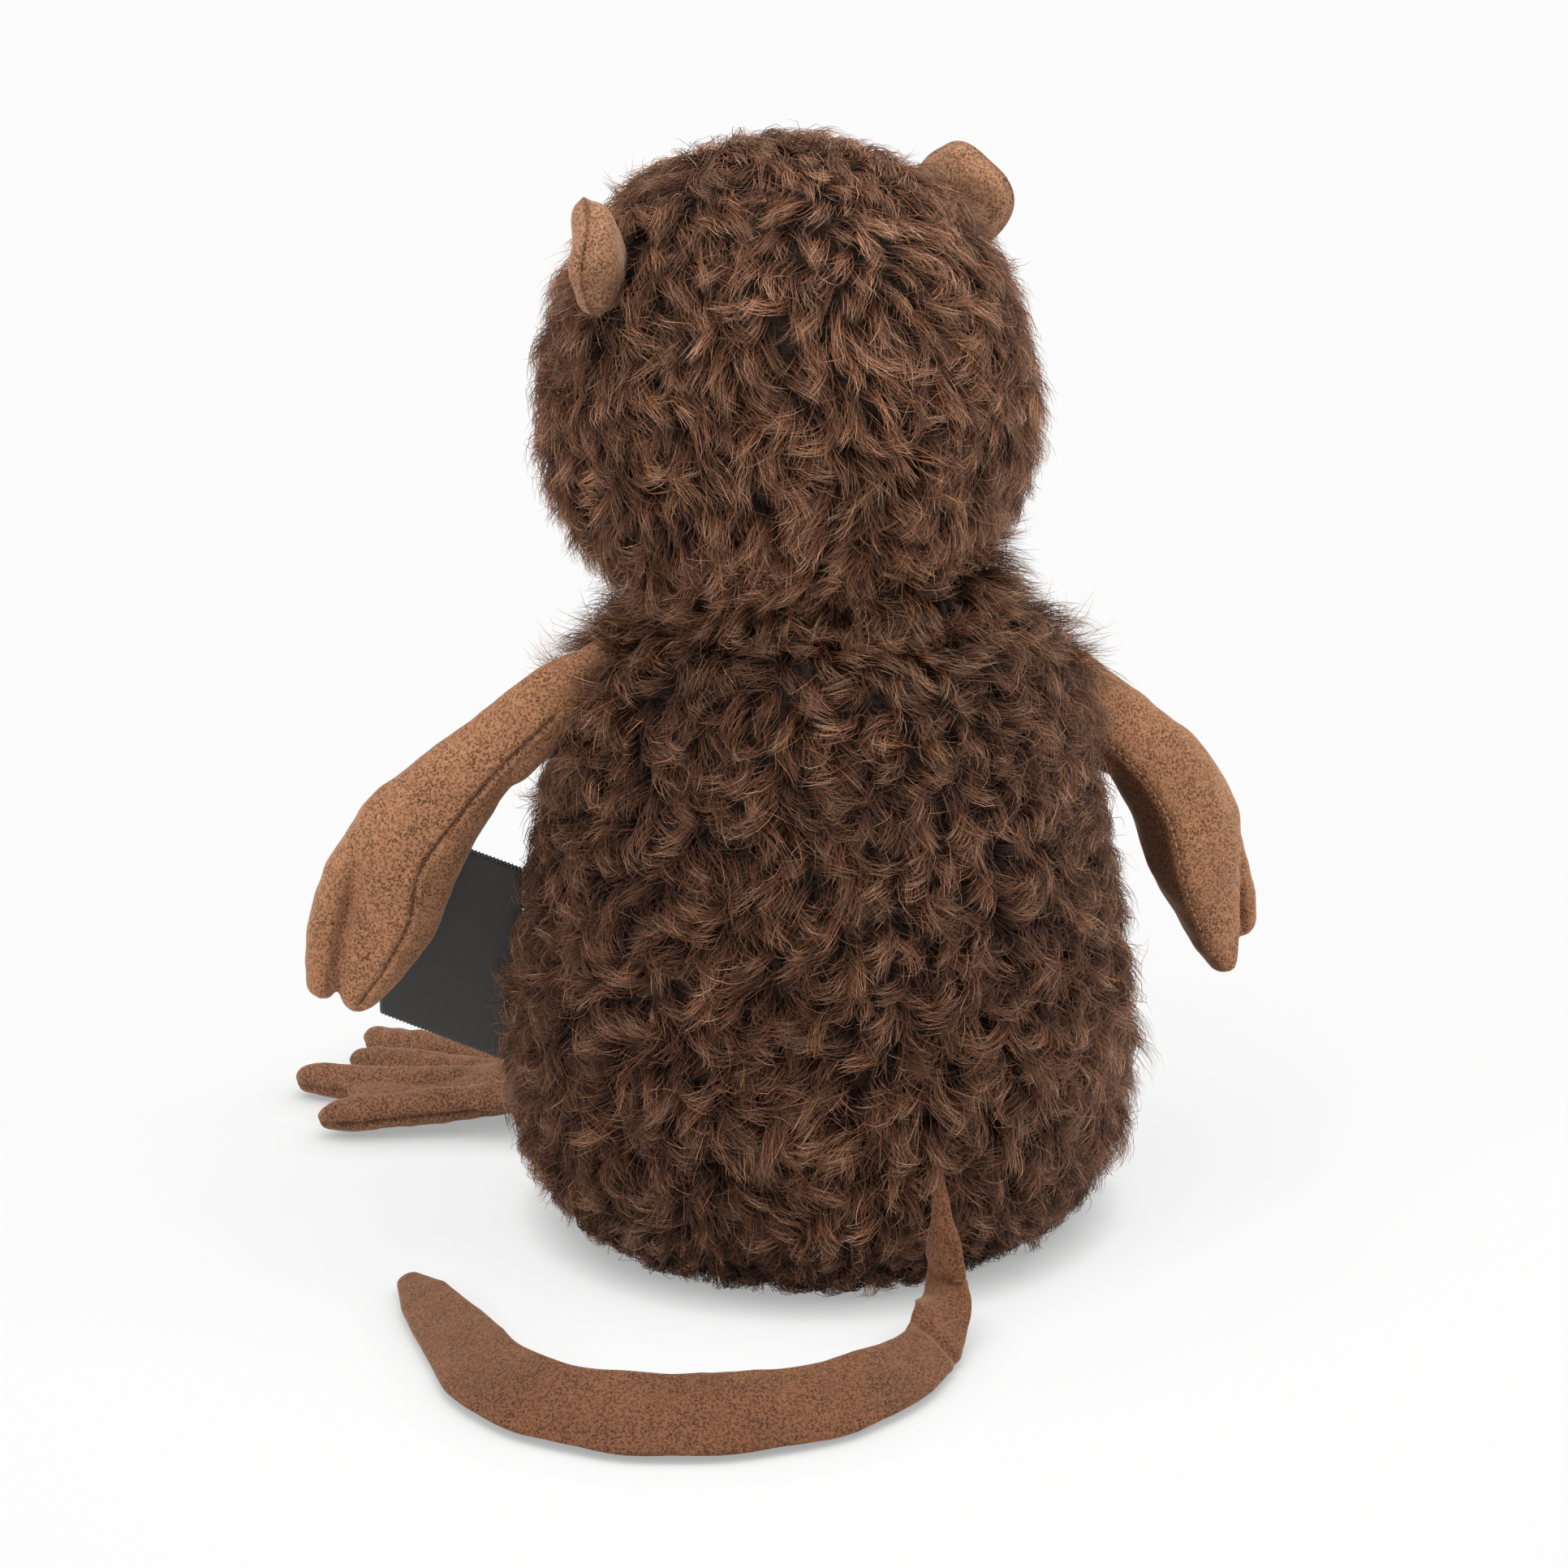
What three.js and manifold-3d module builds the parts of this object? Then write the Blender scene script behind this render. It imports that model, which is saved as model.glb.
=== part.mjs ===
// Sitting plush nutria: curly plush body and head, suede ears, arms, webbed feet and a flat tail.
// Millimetres, +Z up. The toy faces -Y, its left side is +X, and the origin is the middle of its flat base.
import * as THREE from "three";
import { mergeVertices } from "three/addons/utils/BufferGeometryUtils.js";
import Module from "manifold-3d";

// Cloths and fits
const PILE = 6; // curly plush, backing cloth and pile together
const SUEDE = 1.2; // suede cloth
const GAP = 0.3; // clearance between pieces that touch
const FILL_HOLE_RADIUS = 2; // where a limb is stuffed before it is sewn on
const PIT_DEPTH = 4.6; // how deep a sewn root sits in the pile

// Body
const BASE_RADIUS = 46;
const BASE_THICKNESS = 3;
const BELLY_RADIUS = 69.5;
const BELLY_HEIGHT = 28;
const BODY_DEPTH = 132;
const CHEST_BEND = 21; // height of the bend below the shoulder
const SHOULDER_RADIUS = 51;
const SHOULDER_HEIGHT = 131;
const SHOULDER_ROUND = 5;
const NECK_RIM_RADIUS = 40;
const NECK_HEIGHT = SHOULDER_HEIGHT + 15;
const NECK_GROOVE = 3; // how far body and head each fall away from the neck at its rim

// Neck and head, with heights above the neck
const NECK_FORWARD = 5;
const NECK_WAD_RADIUS = 22;
const HEAD_FORWARD = 7; // head axis ahead of the neck
const HEAD_TURN = 11; // degrees to the toy's left
const HEAD_ROLL = 4; // degrees to the toy's left
const HEAD_HEIGHT = 95.5;
const HEAD_DEPTH = 107;
const CHEEK_RADIUS = 54.5;
const CHEEK_HEIGHT = 34;
const CROWN_RADIUS = 36; // reach of the crown's curve

// Face, with heights above the neck
const MUZZLE_WIDTH = 47;
const MUZZLE_LENGTH = 50;
const MUZZLE_DEPTH = 37;
const MUZZLE_HEIGHT = 28;
const NOSE_WIDTH = 15;
const NOSE_DEPTH = 9;
const NOSE_RISE = 38; // degrees up the front of the muzzle
const INCISOR_WIDTH = 5.2;
const INCISOR_LENGTH = 12;
const INCISOR_SLIT = 0.8;
const INCISOR_BACK = 8; // behind the front of the muzzle
const FELT = 1.6;
const EYE_RADIUS = 5;
const EYE_DOME = 4.6;
const EYE_HEIGHT = 52;
const EYE_HEADING = 36; // degrees from straight ahead
const EYE_SINK = 2.6; // edge of the dome below the top of the pile
const EYE_SHANK_RADIUS = 1.6;
const EYE_SHANK_LENGTH = 9;
const WASHER_RADIUS = 5.5;
const WASHER_THICKNESS = 1.2;
const WASHER_PLAY = 1; // between the cloth and the washer

// Flat panels of ears and tail: shares of the half width where the face is full and where its edge turns
const PANEL_SHOULDER = 0.6;
const PANEL_RIM = 0.97;

// Ears
const EAR_WIDTH = 25;
const EAR_ROUND = 25; // height of the round panel before the root cuts it off
const EAR_HEIGHT = 17;
const EAR_CUP = 3.5; // how far the side edges bend forwards
const EAR_PANEL = 1.7;
const EAR_BASE_HEIGHT = 72; // above the neck
const EAR_LEAN = 37; // degrees back from straight out
const EAR_FOLDED = [-20, 0, 14]; // degrees from rest that it stays clear of the head
const EAR_SLANT = 50; // degrees that the root runs down and back across the head
const EAR_ROOT_RADIUS = 2.2;
const EAR_ROOT_LENGTH = 20;
const EAR_PIT_DEPTH = 1.9;

// Arms
const ARM_DROP = { left: 2, right: 7.5 }; // joint below the shoulder
const ARM_OUT = 51.5; // tip of the hand from the joint, sideways
const ARM_DOWN = 76.5; // and downwards
const ARM_START_SLOPE = 41; // degrees below level at the shoulder
const ARM_END_SLOPE = 74; // and at the hand
const ARM_START_PULL = 50; // reach of the bend from the shoulder
const ARM_END_PULL = 38; // and from the tip of the hand
const ARM_SWING = { left: 20, right: -8 }; // degrees forwards from straight sideways
const ARM_LIFT = { left: 1, right: -6 }; // degrees up from those slopes at rest
const ARM_LOWERED = [0, 8]; // degrees down from rest that it stays clear of the body
const ARM_UPPER_AT = 0.25; // share of the arm's length where the upper arm is full
const ARM_ELBOW_AT = 0.42;
const ARM_HAND_AT = 0.62; // and where the hand is widest
const ARM_TIP_AT = 0.92; // and where its end starts to close
const HAND_TWIST = { left: 0, right: 36 }; // degrees that the hand turns its outer edge forwards
const ARM_ROOT_WIDTH = 11;
const ARM_ROOT_THICKNESS = 7;
const ARM_UPPER_WIDTH = 14.5;
const ARM_UPPER_THICKNESS = 13;
const ARM_ELBOW_WIDTH = 18;
const ARM_HAND_WIDTH = 24.5;
const ARM_HAND_THICKNESS = 20;
const ARM_TIP_WIDTH = 15;
const ARM_TIP_THICKNESS = 14;
const DIGIT_RADIUS = 4;
const DIGIT_START = 0.6; // share of the arm's length
const DIGIT_START_OFFSET = 7.5; // towards the outer edge of the hand
const DIGIT_END = 0.97;
const DIGIT_END_OFFSET = 9.3;

// Feet
const FOOT_PLACE = 63; // degrees from the toy's side round to its front
const FOOT_HEADING = { left: 37, right: 65 }; // degrees forwards from straight sideways
const FOOT_SWUNG = [-20, 0, 20]; // degrees from rest that it stays clear of the body
const FOOT_ROOT_HEIGHT = 8;
const FOOT_ROOT_RADIUS = 9.5;
const FOOT_THICKNESS = 9;
const FOOT_HEEL_WIDTH = 18;
const FOOT_PAD_LENGTH = 46;
const FOOT_PAD_WIDTH = 34;
const FOOT_FULL_AT = 0.8; // share of pad or toe where it is widest
const TOE_SPREAD = 40; // degrees from the outer toe to the inner one
const TOE_LENGTHS = [67, 71, 79, 76]; // from the root, outer toe first
const TOE_START = 20;
const TOE_ROOT_WIDTH = 8;
const TOE_WIDTH = 11.5;
const TOE_THICKNESS = 8.5;
const WEB_THICKNESS = 2.4;
const WEB_REACH = 0.9; // share of a toe's length where the web leaves it
const WEB_SCALLOP = 0.66; // and the pull of the web's edge between two toes

// Tail
const TAIL_PLACE = 91; // degrees round from the toy's left side to its back
const TAIL_SWUNG = [-15, 0, 30]; // degrees from rest that it stays clear of the body
const TAIL_ROOT_HEIGHT = 32;
const TAIL_ROOT_RADIUS = 3.4;
const TAIL_ROOT_WIDTH = 6;
const TAIL_NARROW_WIDTH = 10;
const TAIL_WIDTH = 20.5;
const TAIL_LATE_WIDTH = 17;
const TAIL_TIP_WIDTH = 11;
const TAIL_BLUNT = 0.1; // share of its width that the very tip keeps
const TAIL_WIDEST_AT = 0.5; // share of the tail's length
const TAIL_LATE_AT = 0.78;
const TAIL_TIP_AT = 0.95;
const TAIL_PANEL = 1.4;
const TAIL_ARC_WIDE = 50; // half width of the arc, sideways
const TAIL_ARC_DEEP = 44; // and its reach backwards
const TAIL_ARC_CENTRE = new THREE.Vector3(51.5, 64, 0);
const TAIL_ARC_START = 170; // degrees from the toy's left side
const TAIL_STRAIGHT = 47; // after the arc
const TAIL_LEAN = 28; // degrees that the inner edge is lifted off the floor
const TAIL_HANG = new THREE.Vector3(1, 9, -20); // how the tail leaves its root
const TAIL_LEAD = 14; // reach of the bend where it meets the floor

// Label
const LABEL_PLACE = 20; // degrees forwards from the toy's side
const LABEL_BOTTOM = 34;
const LABEL_HEIGHT = 47;
const LABEL_LENGTH = 30;
const LABEL_RISE = 22; // degrees that it slants up, away from the seam
const RIBBON = 0.6;
const LABEL_ROOT_RADIUS = 1.3;
const LABEL_PIT_DEPTH = 1.4;

// Pellet pouch
const POUCH_RADIUS = 34;
const POUCH_HEIGHT = 22;
const POUCH_CLOTH = 0.8;
const POUCH_SPOUT_RADIUS = 4;

// Facets round the outside of body and head, round what is inside them, and round and down the neck wad
const SKIN_FACETS = 28;
const INNER_FACETS = 16;
const WAD_FACETS = 20;
const WAD_ROWS = 10;

const UP = new THREE.Vector3(0, 0, 1);
const { degToRad, lerp, mapLinear, smoothstep } = THREE.MathUtils;
const wasm = await Module();
wasm.setup();

// A closed geometry as a solid that can be joined to others and cut by them
function solid(geometry) {
  const bare = new THREE.BufferGeometry();
  bare.setAttribute("position", geometry.getAttribute("position"));
  bare.setIndex(geometry.index);
  const merged = mergeVertices(bare, 1e-4);
  const corners = Array.from(merged.index.array);
  const triangles = [];
  for (let i = 0; i < corners.length; i += 3) {
    const [a, b, c] = corners.slice(i, i + 3);
    if (a !== b && b !== c && c !== a) triangles.push(a, b, c);
  }
  const mesh = new wasm.Mesh({
    numProp: 3,
    vertProperties: new Float32Array(merged.getAttribute("position").array),
    triVerts: new Uint32Array(triangles),
  });
  return new wasm.Manifold(mesh);
}

// A named piece from a finished solid, added to its group
function addPiece(group, name, body, material) {
  const { vertProperties, triVerts } = body.getMesh();
  const geometry = new THREE.BufferGeometry();
  geometry.setAttribute("position", new THREE.BufferAttribute(vertProperties, 3));
  geometry.setIndex(new THREE.BufferAttribute(triVerts, 1));
  geometry.computeVertexNormals();
  const mesh = new THREE.Mesh(geometry, material.clone());
  mesh.name = name;
  group.add(mesh);
}

// A group with its origin on the line or point that it moves about
function addGroup(parent, name, position) {
  const group = new THREE.Group();
  group.name = name;
  group.position.copy(position);
  parent.add(group);
  return group;
}

// A geometry of a group's own frame as a solid in the frame that carries the group
function carried(group, geometry) {
  group.updateMatrix();
  return solid(geometry.applyMatrix4(group.matrix));
}

// A round form about the Z axis from an outline of radius and height; squeeze makes it shallower in Y
function turned(outline, facets, squeeze = 1) {
  return new THREE.LatheGeometry(outline, facets).rotateX(Math.PI / 2).scale(1, squeeze, 1);
}

// Outline points from pairs of radius and height
function outlinePoints(pairs) {
  return pairs.map(([radius, height]) => new THREE.Vector2(radius, height));
}

// An egg shape from its three full sizes
function egg(width, length, height, middle) {
  const ball = new THREE.SphereGeometry(0.5, 16, 10).rotateX(Math.PI / 2);
  return ball.scale(width, length, height).translate(middle.x, middle.y, middle.z);
}

// A straight round pin through the origin
function pin(radius, length, axis, facets = 20) {
  const turn = new THREE.Quaternion().setFromUnitVectors(new THREE.Vector3(0, 1, 0), axis);
  return new THREE.CylinderGeometry(radius, radius, length, facets).applyQuaternion(turn);
}

// A skin over a row of rings, closed by a flat cap at each end.
// mirrored splits its four-sided facets the other way.
function skinned(rings, mirrored) {
  const sides = rings[0].length;
  const points = rings.flat();
  const lastRing = points.length - sides;
  const caps = points.length;
  const middle = (ring) => ring.reduce((sum, p) => sum.add(p), new THREE.Vector3()).divideScalar(sides);
  points.push(middle(rings[0]), middle(rings[rings.length - 1]));
  const index = [];
  for (let j = 0; j < sides; j++) {
    const next = (j + 1) % sides;
    for (let row = 0; row < lastRing; row += sides) {
      const [a, b, c, d] = [row + j, row + next, row + sides + next, row + sides + j];
      if (mirrored) index.push(a, b, c, a, c, d);
      else index.push(a, b, d, b, c, d);
    }
    index.push(caps, next, j);
    index.push(caps + 1, lastRing + j, lastRing + next);
  }
  return new THREE.BufferGeometry().setFromPoints(points).setIndex(index);
}

// A section moved along a curve, with its rings closer together near both ends.
// wide(share) is the way that the section's first coordinate lies.
function swept(curve, steps, wide, section, { inset = 0, mirrored = false } = {}) {
  const length = curve.getLength();
  const rings = [];
  for (let i = 0; i <= steps; i++) {
    const spread = (1 - Math.cos((Math.PI * i) / steps)) / 2;
    const distance = inset + (length - 2 * inset) * spread;
    const share = distance / length;
    const along = curve.getTangentAt(share);
    const across = wide(share).projectOnPlane(along).normalize();
    const above = new THREE.Vector3().crossVectors(along, across);
    const place = curve.getPointAt(share);
    const corner = ([a, b]) => place.clone().addScaledVector(across, a).addScaledVector(above, b);
    rings.push(section(share, distance).map(corner));
  }
  return skinned(rings, mirrored);
}

// A stuffed tube along a curve with oval sections and round ends.
// inset makes the same tube smaller all round.
function stuffed(curve, wide, { halfWidth, halfThick, startRound = 0, endRound }, steps, sides, inset = 0) {
  const length = curve.getLength();
  const section = (share, distance) => {
    const start = opened(distance - inset, startRound - inset);
    const open = start * opened(length - inset - distance, endRound - inset);
    const turns = Array.from({ length: sides }, (_, j) => (2 * Math.PI * j) / sides);
    return turns.map((turn) => [
      (halfWidth(share) - inset) * open * Math.cos(turn),
      (halfThick(share) - inset) * open * Math.sin(turn),
    ]);
  };
  return swept(curve, steps, wide, section, { inset });
}

// How far a round end has opened at a distance from its tip
function opened(distance, radius) {
  if (distance >= radius) return 1;
  return Math.sqrt(Math.max(0, 1 - (1 - distance / radius) ** 2));
}

// A value that runs smoothly through stops of share and value
function through(...stops) {
  return (share) => {
    let last = stops[0];
    for (const stop of stops) {
      if (share < stop[0]) return lerp(last[1], stop[1], smoothstep(share, last[0], stop[0]));
      last = stop;
    }
    return last[1];
  };
}

// Point on the outside of a turned form at a heading in degrees and a height, and the way out from it there
function outside(outline, squeeze, heading, height) {
  const above = outline.findIndex((p, i) => i > 1 && p.y >= height);
  const [low, high] = [outline[above - 1], outline[above]];
  const radius = mapLinear(height, low.y, high.y, low.x, high.x);
  const [cos, sin] = [Math.cos(degToRad(heading)), Math.sin(degToRad(heading))];
  const rise = high.y - low.y;
  return {
    point: new THREE.Vector3(radius * cos, radius * sin * squeeze, height),
    way: new THREE.Vector3(rise * cos, (rise * sin) / squeeze, low.x - high.x).normalize(),
  };
}

// Materials
function cloth(color, roughness = 0.95) {
  return new THREE.MeshStandardMaterial({ color, roughness, metalness: 0 });
}
const PLUSH = cloth(0x3d2a20, 1);
const SUEDE_CLOTH = cloth(0x7a5238);
const BASE_CLOTH = cloth(0x4a3527);
const SATIN = cloth(0x14130f, 0.35);
const FELT_CLOTH = cloth(0xc9702a);
const NOSE_CLOTH = cloth(0x241a16, 0.8);
const FIBRE = cloth(0xf1efe9, 1);
const POUCH_WEAVE = cloth(0xd8d2c4);
const PELLETS = cloth(0xe8e6e0, 0.5);
const EYE_PLASTIC = cloth(0x0d0a08, 0.12);
const WASHER_PLASTIC = cloth(0xe6e4dd, 0.5);

// Body outline from the middle of its underside to the neck
function bodyOutline(inset, bottom, divisions) {
  const lowest = Math.max(bottom, inset);
  const rimHeight = NECK_HEIGHT - NECK_GROOVE - inset;
  const outline = new THREE.Path();
  outline.moveTo(0, bottom);
  outline.lineTo(BASE_RADIUS - inset, bottom);
  if (lowest > bottom) outline.lineTo(BASE_RADIUS - inset, lowest);
  outline.bezierCurveTo(
    (BASE_RADIUS + 2 * BELLY_RADIUS) / 3 - inset, lowest,
    BELLY_RADIUS - inset, (lowest + BELLY_HEIGHT) / 2,
    BELLY_RADIUS - inset, BELLY_HEIGHT,
  );
  outline.bezierCurveTo(
    BELLY_RADIUS - inset, (BELLY_HEIGHT + SHOULDER_HEIGHT) / 2,
    (BELLY_RADIUS + SHOULDER_RADIUS) / 2 - inset, SHOULDER_HEIGHT - CHEST_BEND,
    SHOULDER_RADIUS - inset, SHOULDER_HEIGHT,
  );
  outline.bezierCurveTo(
    SHOULDER_RADIUS - SHOULDER_ROUND / 2 - inset, (SHOULDER_HEIGHT + rimHeight) / 2,
    NECK_RIM_RADIUS + SHOULDER_ROUND - inset, rimHeight,
    NECK_RIM_RADIUS - inset, rimHeight,
  );
  outline.lineTo(0, NECK_HEIGHT - inset);
  return outline.getPoints(divisions);
}

// Head outline from the neck to the crown, with heights above the neck
function headOutline(inset, divisions) {
  const rimHeight = NECK_GROOVE + inset;
  const outline = new THREE.Path();
  outline.moveTo(0, inset);
  outline.lineTo(NECK_RIM_RADIUS - inset, rimHeight);
  outline.bezierCurveTo(
    (NECK_RIM_RADIUS + CHEEK_RADIUS) / 2 - inset, rimHeight,
    CHEEK_RADIUS - inset, (rimHeight + CHEEK_HEIGHT) / 2,
    CHEEK_RADIUS - inset, CHEEK_HEIGHT,
  );
  outline.bezierCurveTo(
    CHEEK_RADIUS - inset, (CHEEK_HEIGHT + HEAD_HEIGHT) / 2,
    CROWN_RADIUS - inset, HEAD_HEIGHT - inset,
    0, HEAD_HEIGHT - inset,
  );
  return outline.getPoints(divisions);
}

const BODY_SQUEEZE = BODY_DEPTH / (2 * BELLY_RADIUS);
const HEAD_SQUEEZE = HEAD_DEPTH / (2 * CHEEK_RADIUS);
const bodySkin = bodyOutline(0, 0, 5);
const headSkin = headOutline(0, 6);
const bodyForm = (inset) => turned(bodyOutline(inset, 0, 5), SKIN_FACETS, BODY_SQUEEZE);
function headForm(inset) {
  return turned(headOutline(inset, 6), SKIN_FACETS, HEAD_SQUEEZE).translate(0, -HEAD_FORWARD, 0);
}
const onBody = (heading, height) => outside(bodySkin, BODY_SQUEEZE, heading, height);
function onHead(heading, height) {
  const { point, way } = outside(headSkin, HEAD_SQUEEZE, heading, height);
  return { point: point.setY(point.y - HEAD_FORWARD), way };
}

// A limb's solid with a form taken away, as that form stands to it when the limb has turned by each angle
function clearOf(form, limb, group, hinge, turns, inset = 0) {
  group.updateMatrix();
  const toLimb = group.matrix.clone().invert();
  for (const turn of turns) {
    const turnBack = new THREE.Matrix4().makeRotationAxis(hinge, -degToRad(turn));
    limb = limb.subtract(solid(form(-GAP - inset).applyMatrix4(toLimb).applyMatrix4(turnBack)));
  }
  return limb;
}

// The toy, and what its limbs, ears, label and eyes cut out of body and head
const toy = new THREE.Group();
toy.name = "plush_nutria";
const neckPlace = new THREE.Vector3(0, -NECK_FORWARD, NECK_HEIGHT);
const head = addGroup(toy, "head", neckPlace);
head.rotation.set(0, degToRad(HEAD_ROLL), degToRad(HEAD_TURN), "ZYX");
const bodyCuts = [];
const headCuts = [];
const headFillingCuts = [];

// Arm: a bent stuffed tube from a flat shoulder seam to a hand with one digit apart from the rest
function addArm(sideName, side) {
  const jointHeight = SHOULDER_HEIGHT - ARM_DROP[sideName];
  const { point, way } = onBody(side > 0 ? 0 : 180, jointHeight);
  const rootRadius = ARM_ROOT_WIDTH / 2 + GAP;
  const arm = addGroup(toy, `arm_${sideName}`, point.addScaledVector(way, rootRadius + GAP - PIT_DEPTH));
  const heading = (side > 0 ? 0 : Math.PI) - side * degToRad(ARM_SWING[sideName]);
  arm.rotation.set(0, -degToRad(ARM_LIFT[sideName]), heading, "ZYX");
  const hinge = new THREE.Vector3(0, 1, 0);
  const downhill = (slope) => new THREE.Vector3(Math.cos(degToRad(slope)), 0, -Math.sin(degToRad(slope)));
  const tip = new THREE.Vector3(ARM_OUT, 0, -ARM_DOWN);
  const line = new THREE.CubicBezierCurve3(
    new THREE.Vector3(),
    downhill(ARM_START_SLOPE).multiplyScalar(ARM_START_PULL),
    tip.clone().addScaledVector(downhill(ARM_END_SLOPE), -ARM_END_PULL),
    tip,
  );
  const forwards = new THREE.Vector3(0, -side, 0);
  const wide = (share) => {
    const turn = degToRad(HAND_TWIST[sideName]) * smoothstep(share, 0, ARM_HAND_AT);
    const seam = new THREE.Vector3().crossVectors(line.getTangentAt(share), hinge);
    return seam.multiplyScalar(Math.cos(turn)).addScaledVector(forwards, Math.sin(turn));
  };
  const tube = {
    halfWidth: through(
      [0, ARM_ROOT_WIDTH / 2],
      [ARM_UPPER_AT, ARM_UPPER_WIDTH / 2],
      [ARM_ELBOW_AT, ARM_ELBOW_WIDTH / 2],
      [ARM_HAND_AT, ARM_HAND_WIDTH / 2],
      [ARM_TIP_AT, ARM_TIP_WIDTH / 2],
    ),
    halfThick: through(
      [0, ARM_ROOT_THICKNESS / 2],
      [ARM_UPPER_AT, ARM_UPPER_THICKNESS / 2],
      [ARM_HAND_AT, ARM_HAND_THICKNESS / 2],
      [ARM_TIP_AT, ARM_TIP_THICKNESS / 2],
    ),
    endRound: ARM_TIP_WIDTH / 2,
  };
  const finger = {
    halfWidth: () => DIGIT_RADIUS,
    halfThick: () => DIGIT_RADIUS,
    startRound: DIGIT_RADIUS,
    endRound: DIGIT_RADIUS,
  };
  let skin = solid(stuffed(line, wide, tube, 14, 16));
  const besideHand = (share, offset) => line.getPointAt(share).addScaledVector(wide(share), offset);
  const knuckle = besideHand(DIGIT_START, DIGIT_START_OFFSET);
  const fingerTip = besideHand(DIGIT_END, DIGIT_END_OFFSET);
  const fingerLine = new THREE.LineCurve3(knuckle, fingerTip);
  skin = skin.add(solid(stuffed(fingerLine, () => wide(1), finger, 8, 12)));
  skin = clearOf(bodyForm, skin, arm, hinge, ARM_LOWERED);
  skin = skin.add(solid(pin(rootRadius, ARM_ROOT_THICKNESS, hinge)));
  const inside = (inset) => {
    const room = solid(stuffed(line, wide, tube, 8, 10, inset));
    return clearOf(bodyForm, room, arm, hinge, ARM_LOWERED, inset);
  };
  skin = skin.subtract(inside(SUEDE));
  skin = skin.subtract(solid(pin(FILL_HOLE_RADIUS, 3 * rootRadius, line.getTangentAt(0), 10)));
  addPiece(arm, `arm_${sideName}_skin`, skin, SUEDE_CLOTH);
  addPiece(arm, `arm_${sideName}_filling`, inside(SUEDE + GAP), FIBRE);
  bodyCuts.push(carried(arm, pin(rootRadius + GAP, ARM_ROOT_THICKNESS + 4 * GAP, hinge)));
}
addArm("left", 1);
addArm("right", -1);

// Foot: a flat stuffed pad with a fan of long toes and a web between them
function addFoot(sideName, side) {
  const { point } = onBody(side > 0 ? -FOOT_PLACE : FOOT_PLACE - 180, FOOT_ROOT_HEIGHT);
  const reach = point.setZ(0).length() + FOOT_ROOT_RADIUS + GAP - PIT_DEPTH;
  const foot = addGroup(toy, `foot_${sideName}`, point.setLength(reach));
  foot.rotation.z = side > 0 ? -degToRad(FOOT_HEADING.left) : Math.PI + degToRad(FOOT_HEADING.right);
  const toeWay = (order) => {
    const turn = side * degToRad(TOE_SPREAD) * (0.5 - order / (TOE_LENGTHS.length - 1));
    return new THREE.Vector3(Math.cos(turn), Math.sin(turn), 0);
  };
  const level = (curve) => () => new THREE.Vector3().crossVectors(UP, curve.getTangentAt(0));
  const padHeight = FOOT_THICKNESS / 2;
  const padLine = new THREE.LineCurve3(
    new THREE.Vector3(0, 0, padHeight),
    new THREE.Vector3(FOOT_PAD_LENGTH, 0, padHeight),
  );
  const pad = {
    halfWidth: through([0, FOOT_HEEL_WIDTH / 2], [FOOT_FULL_AT, FOOT_PAD_WIDTH / 2]),
    halfThick: () => FOOT_THICKNESS / 2,
    endRound: FOOT_PAD_WIDTH / 2,
  };
  const toe = {
    halfWidth: through([0, TOE_ROOT_WIDTH / 2], [FOOT_FULL_AT, TOE_WIDTH / 2]),
    halfThick: () => TOE_THICKNESS / 2,
    startRound: TOE_ROOT_WIDTH / 2,
    endRound: TOE_WIDTH / 2,
  };
  let skin = solid(stuffed(padLine, level(padLine), pad, 9, 14));
  TOE_LENGTHS.forEach((length, order) => {
    const lift = UP.clone().multiplyScalar(TOE_THICKNESS / 2);
    const from = toeWay(order).multiplyScalar(TOE_START).add(lift);
    const to = toeWay(order).multiplyScalar(length).add(lift);
    const toeLine = new THREE.LineCurve3(from, to);
    skin = skin.add(solid(stuffed(toeLine, level(toeLine), toe, 7, 10)));
  });

  const web = new THREE.Shape();
  web.moveTo(FOOT_ROOT_RADIUS, 0);
  TOE_LENGTHS.forEach((length, order) => {
    const edge = toeWay(order).multiplyScalar(length * WEB_REACH);
    const pull = toeWay(order - 0.5).multiplyScalar(length * WEB_SCALLOP);
    if (order === 0) web.lineTo(edge.x, edge.y);
    else web.quadraticCurveTo(pull.x, pull.y, edge.x, edge.y);
  });
  const flat = { depth: WEB_THICKNESS, bevelEnabled: false, curveSegments: 4 };
  const sheet = new THREE.ExtrudeGeometry(web, flat);
  skin = skin.add(solid(sheet.translate(0, 0, (TOE_THICKNESS - WEB_THICKNESS) / 2)));

  skin = clearOf(bodyForm, skin, foot, UP, FOOT_SWUNG);
  skin = skin.add(solid(pin(FOOT_ROOT_RADIUS, FOOT_THICKNESS, UP).translate(0, 0, padHeight)));
  const inside = (inset) => {
    const room = solid(stuffed(padLine, level(padLine), pad, 6, 10, inset));
    return clearOf(bodyForm, room, foot, UP, FOOT_SWUNG, inset);
  };
  skin = skin.subtract(inside(SUEDE));
  const fillHole = pin(FILL_HOLE_RADIUS, 3 * FOOT_ROOT_RADIUS, new THREE.Vector3(1, 0, 0), 10);
  skin = skin.subtract(solid(fillHole.translate(0, 0, padHeight)));
  addPiece(foot, `foot_${sideName}_skin`, skin, SUEDE_CLOTH);
  addPiece(foot, `foot_${sideName}_filling`, inside(SUEDE + GAP), FIBRE);
  bodyCuts.push(carried(foot, pin(FOOT_ROOT_RADIUS + GAP, 3 * FOOT_THICKNESS, UP)));
}
addFoot("left", 1);
addFoot("right", -1);

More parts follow.
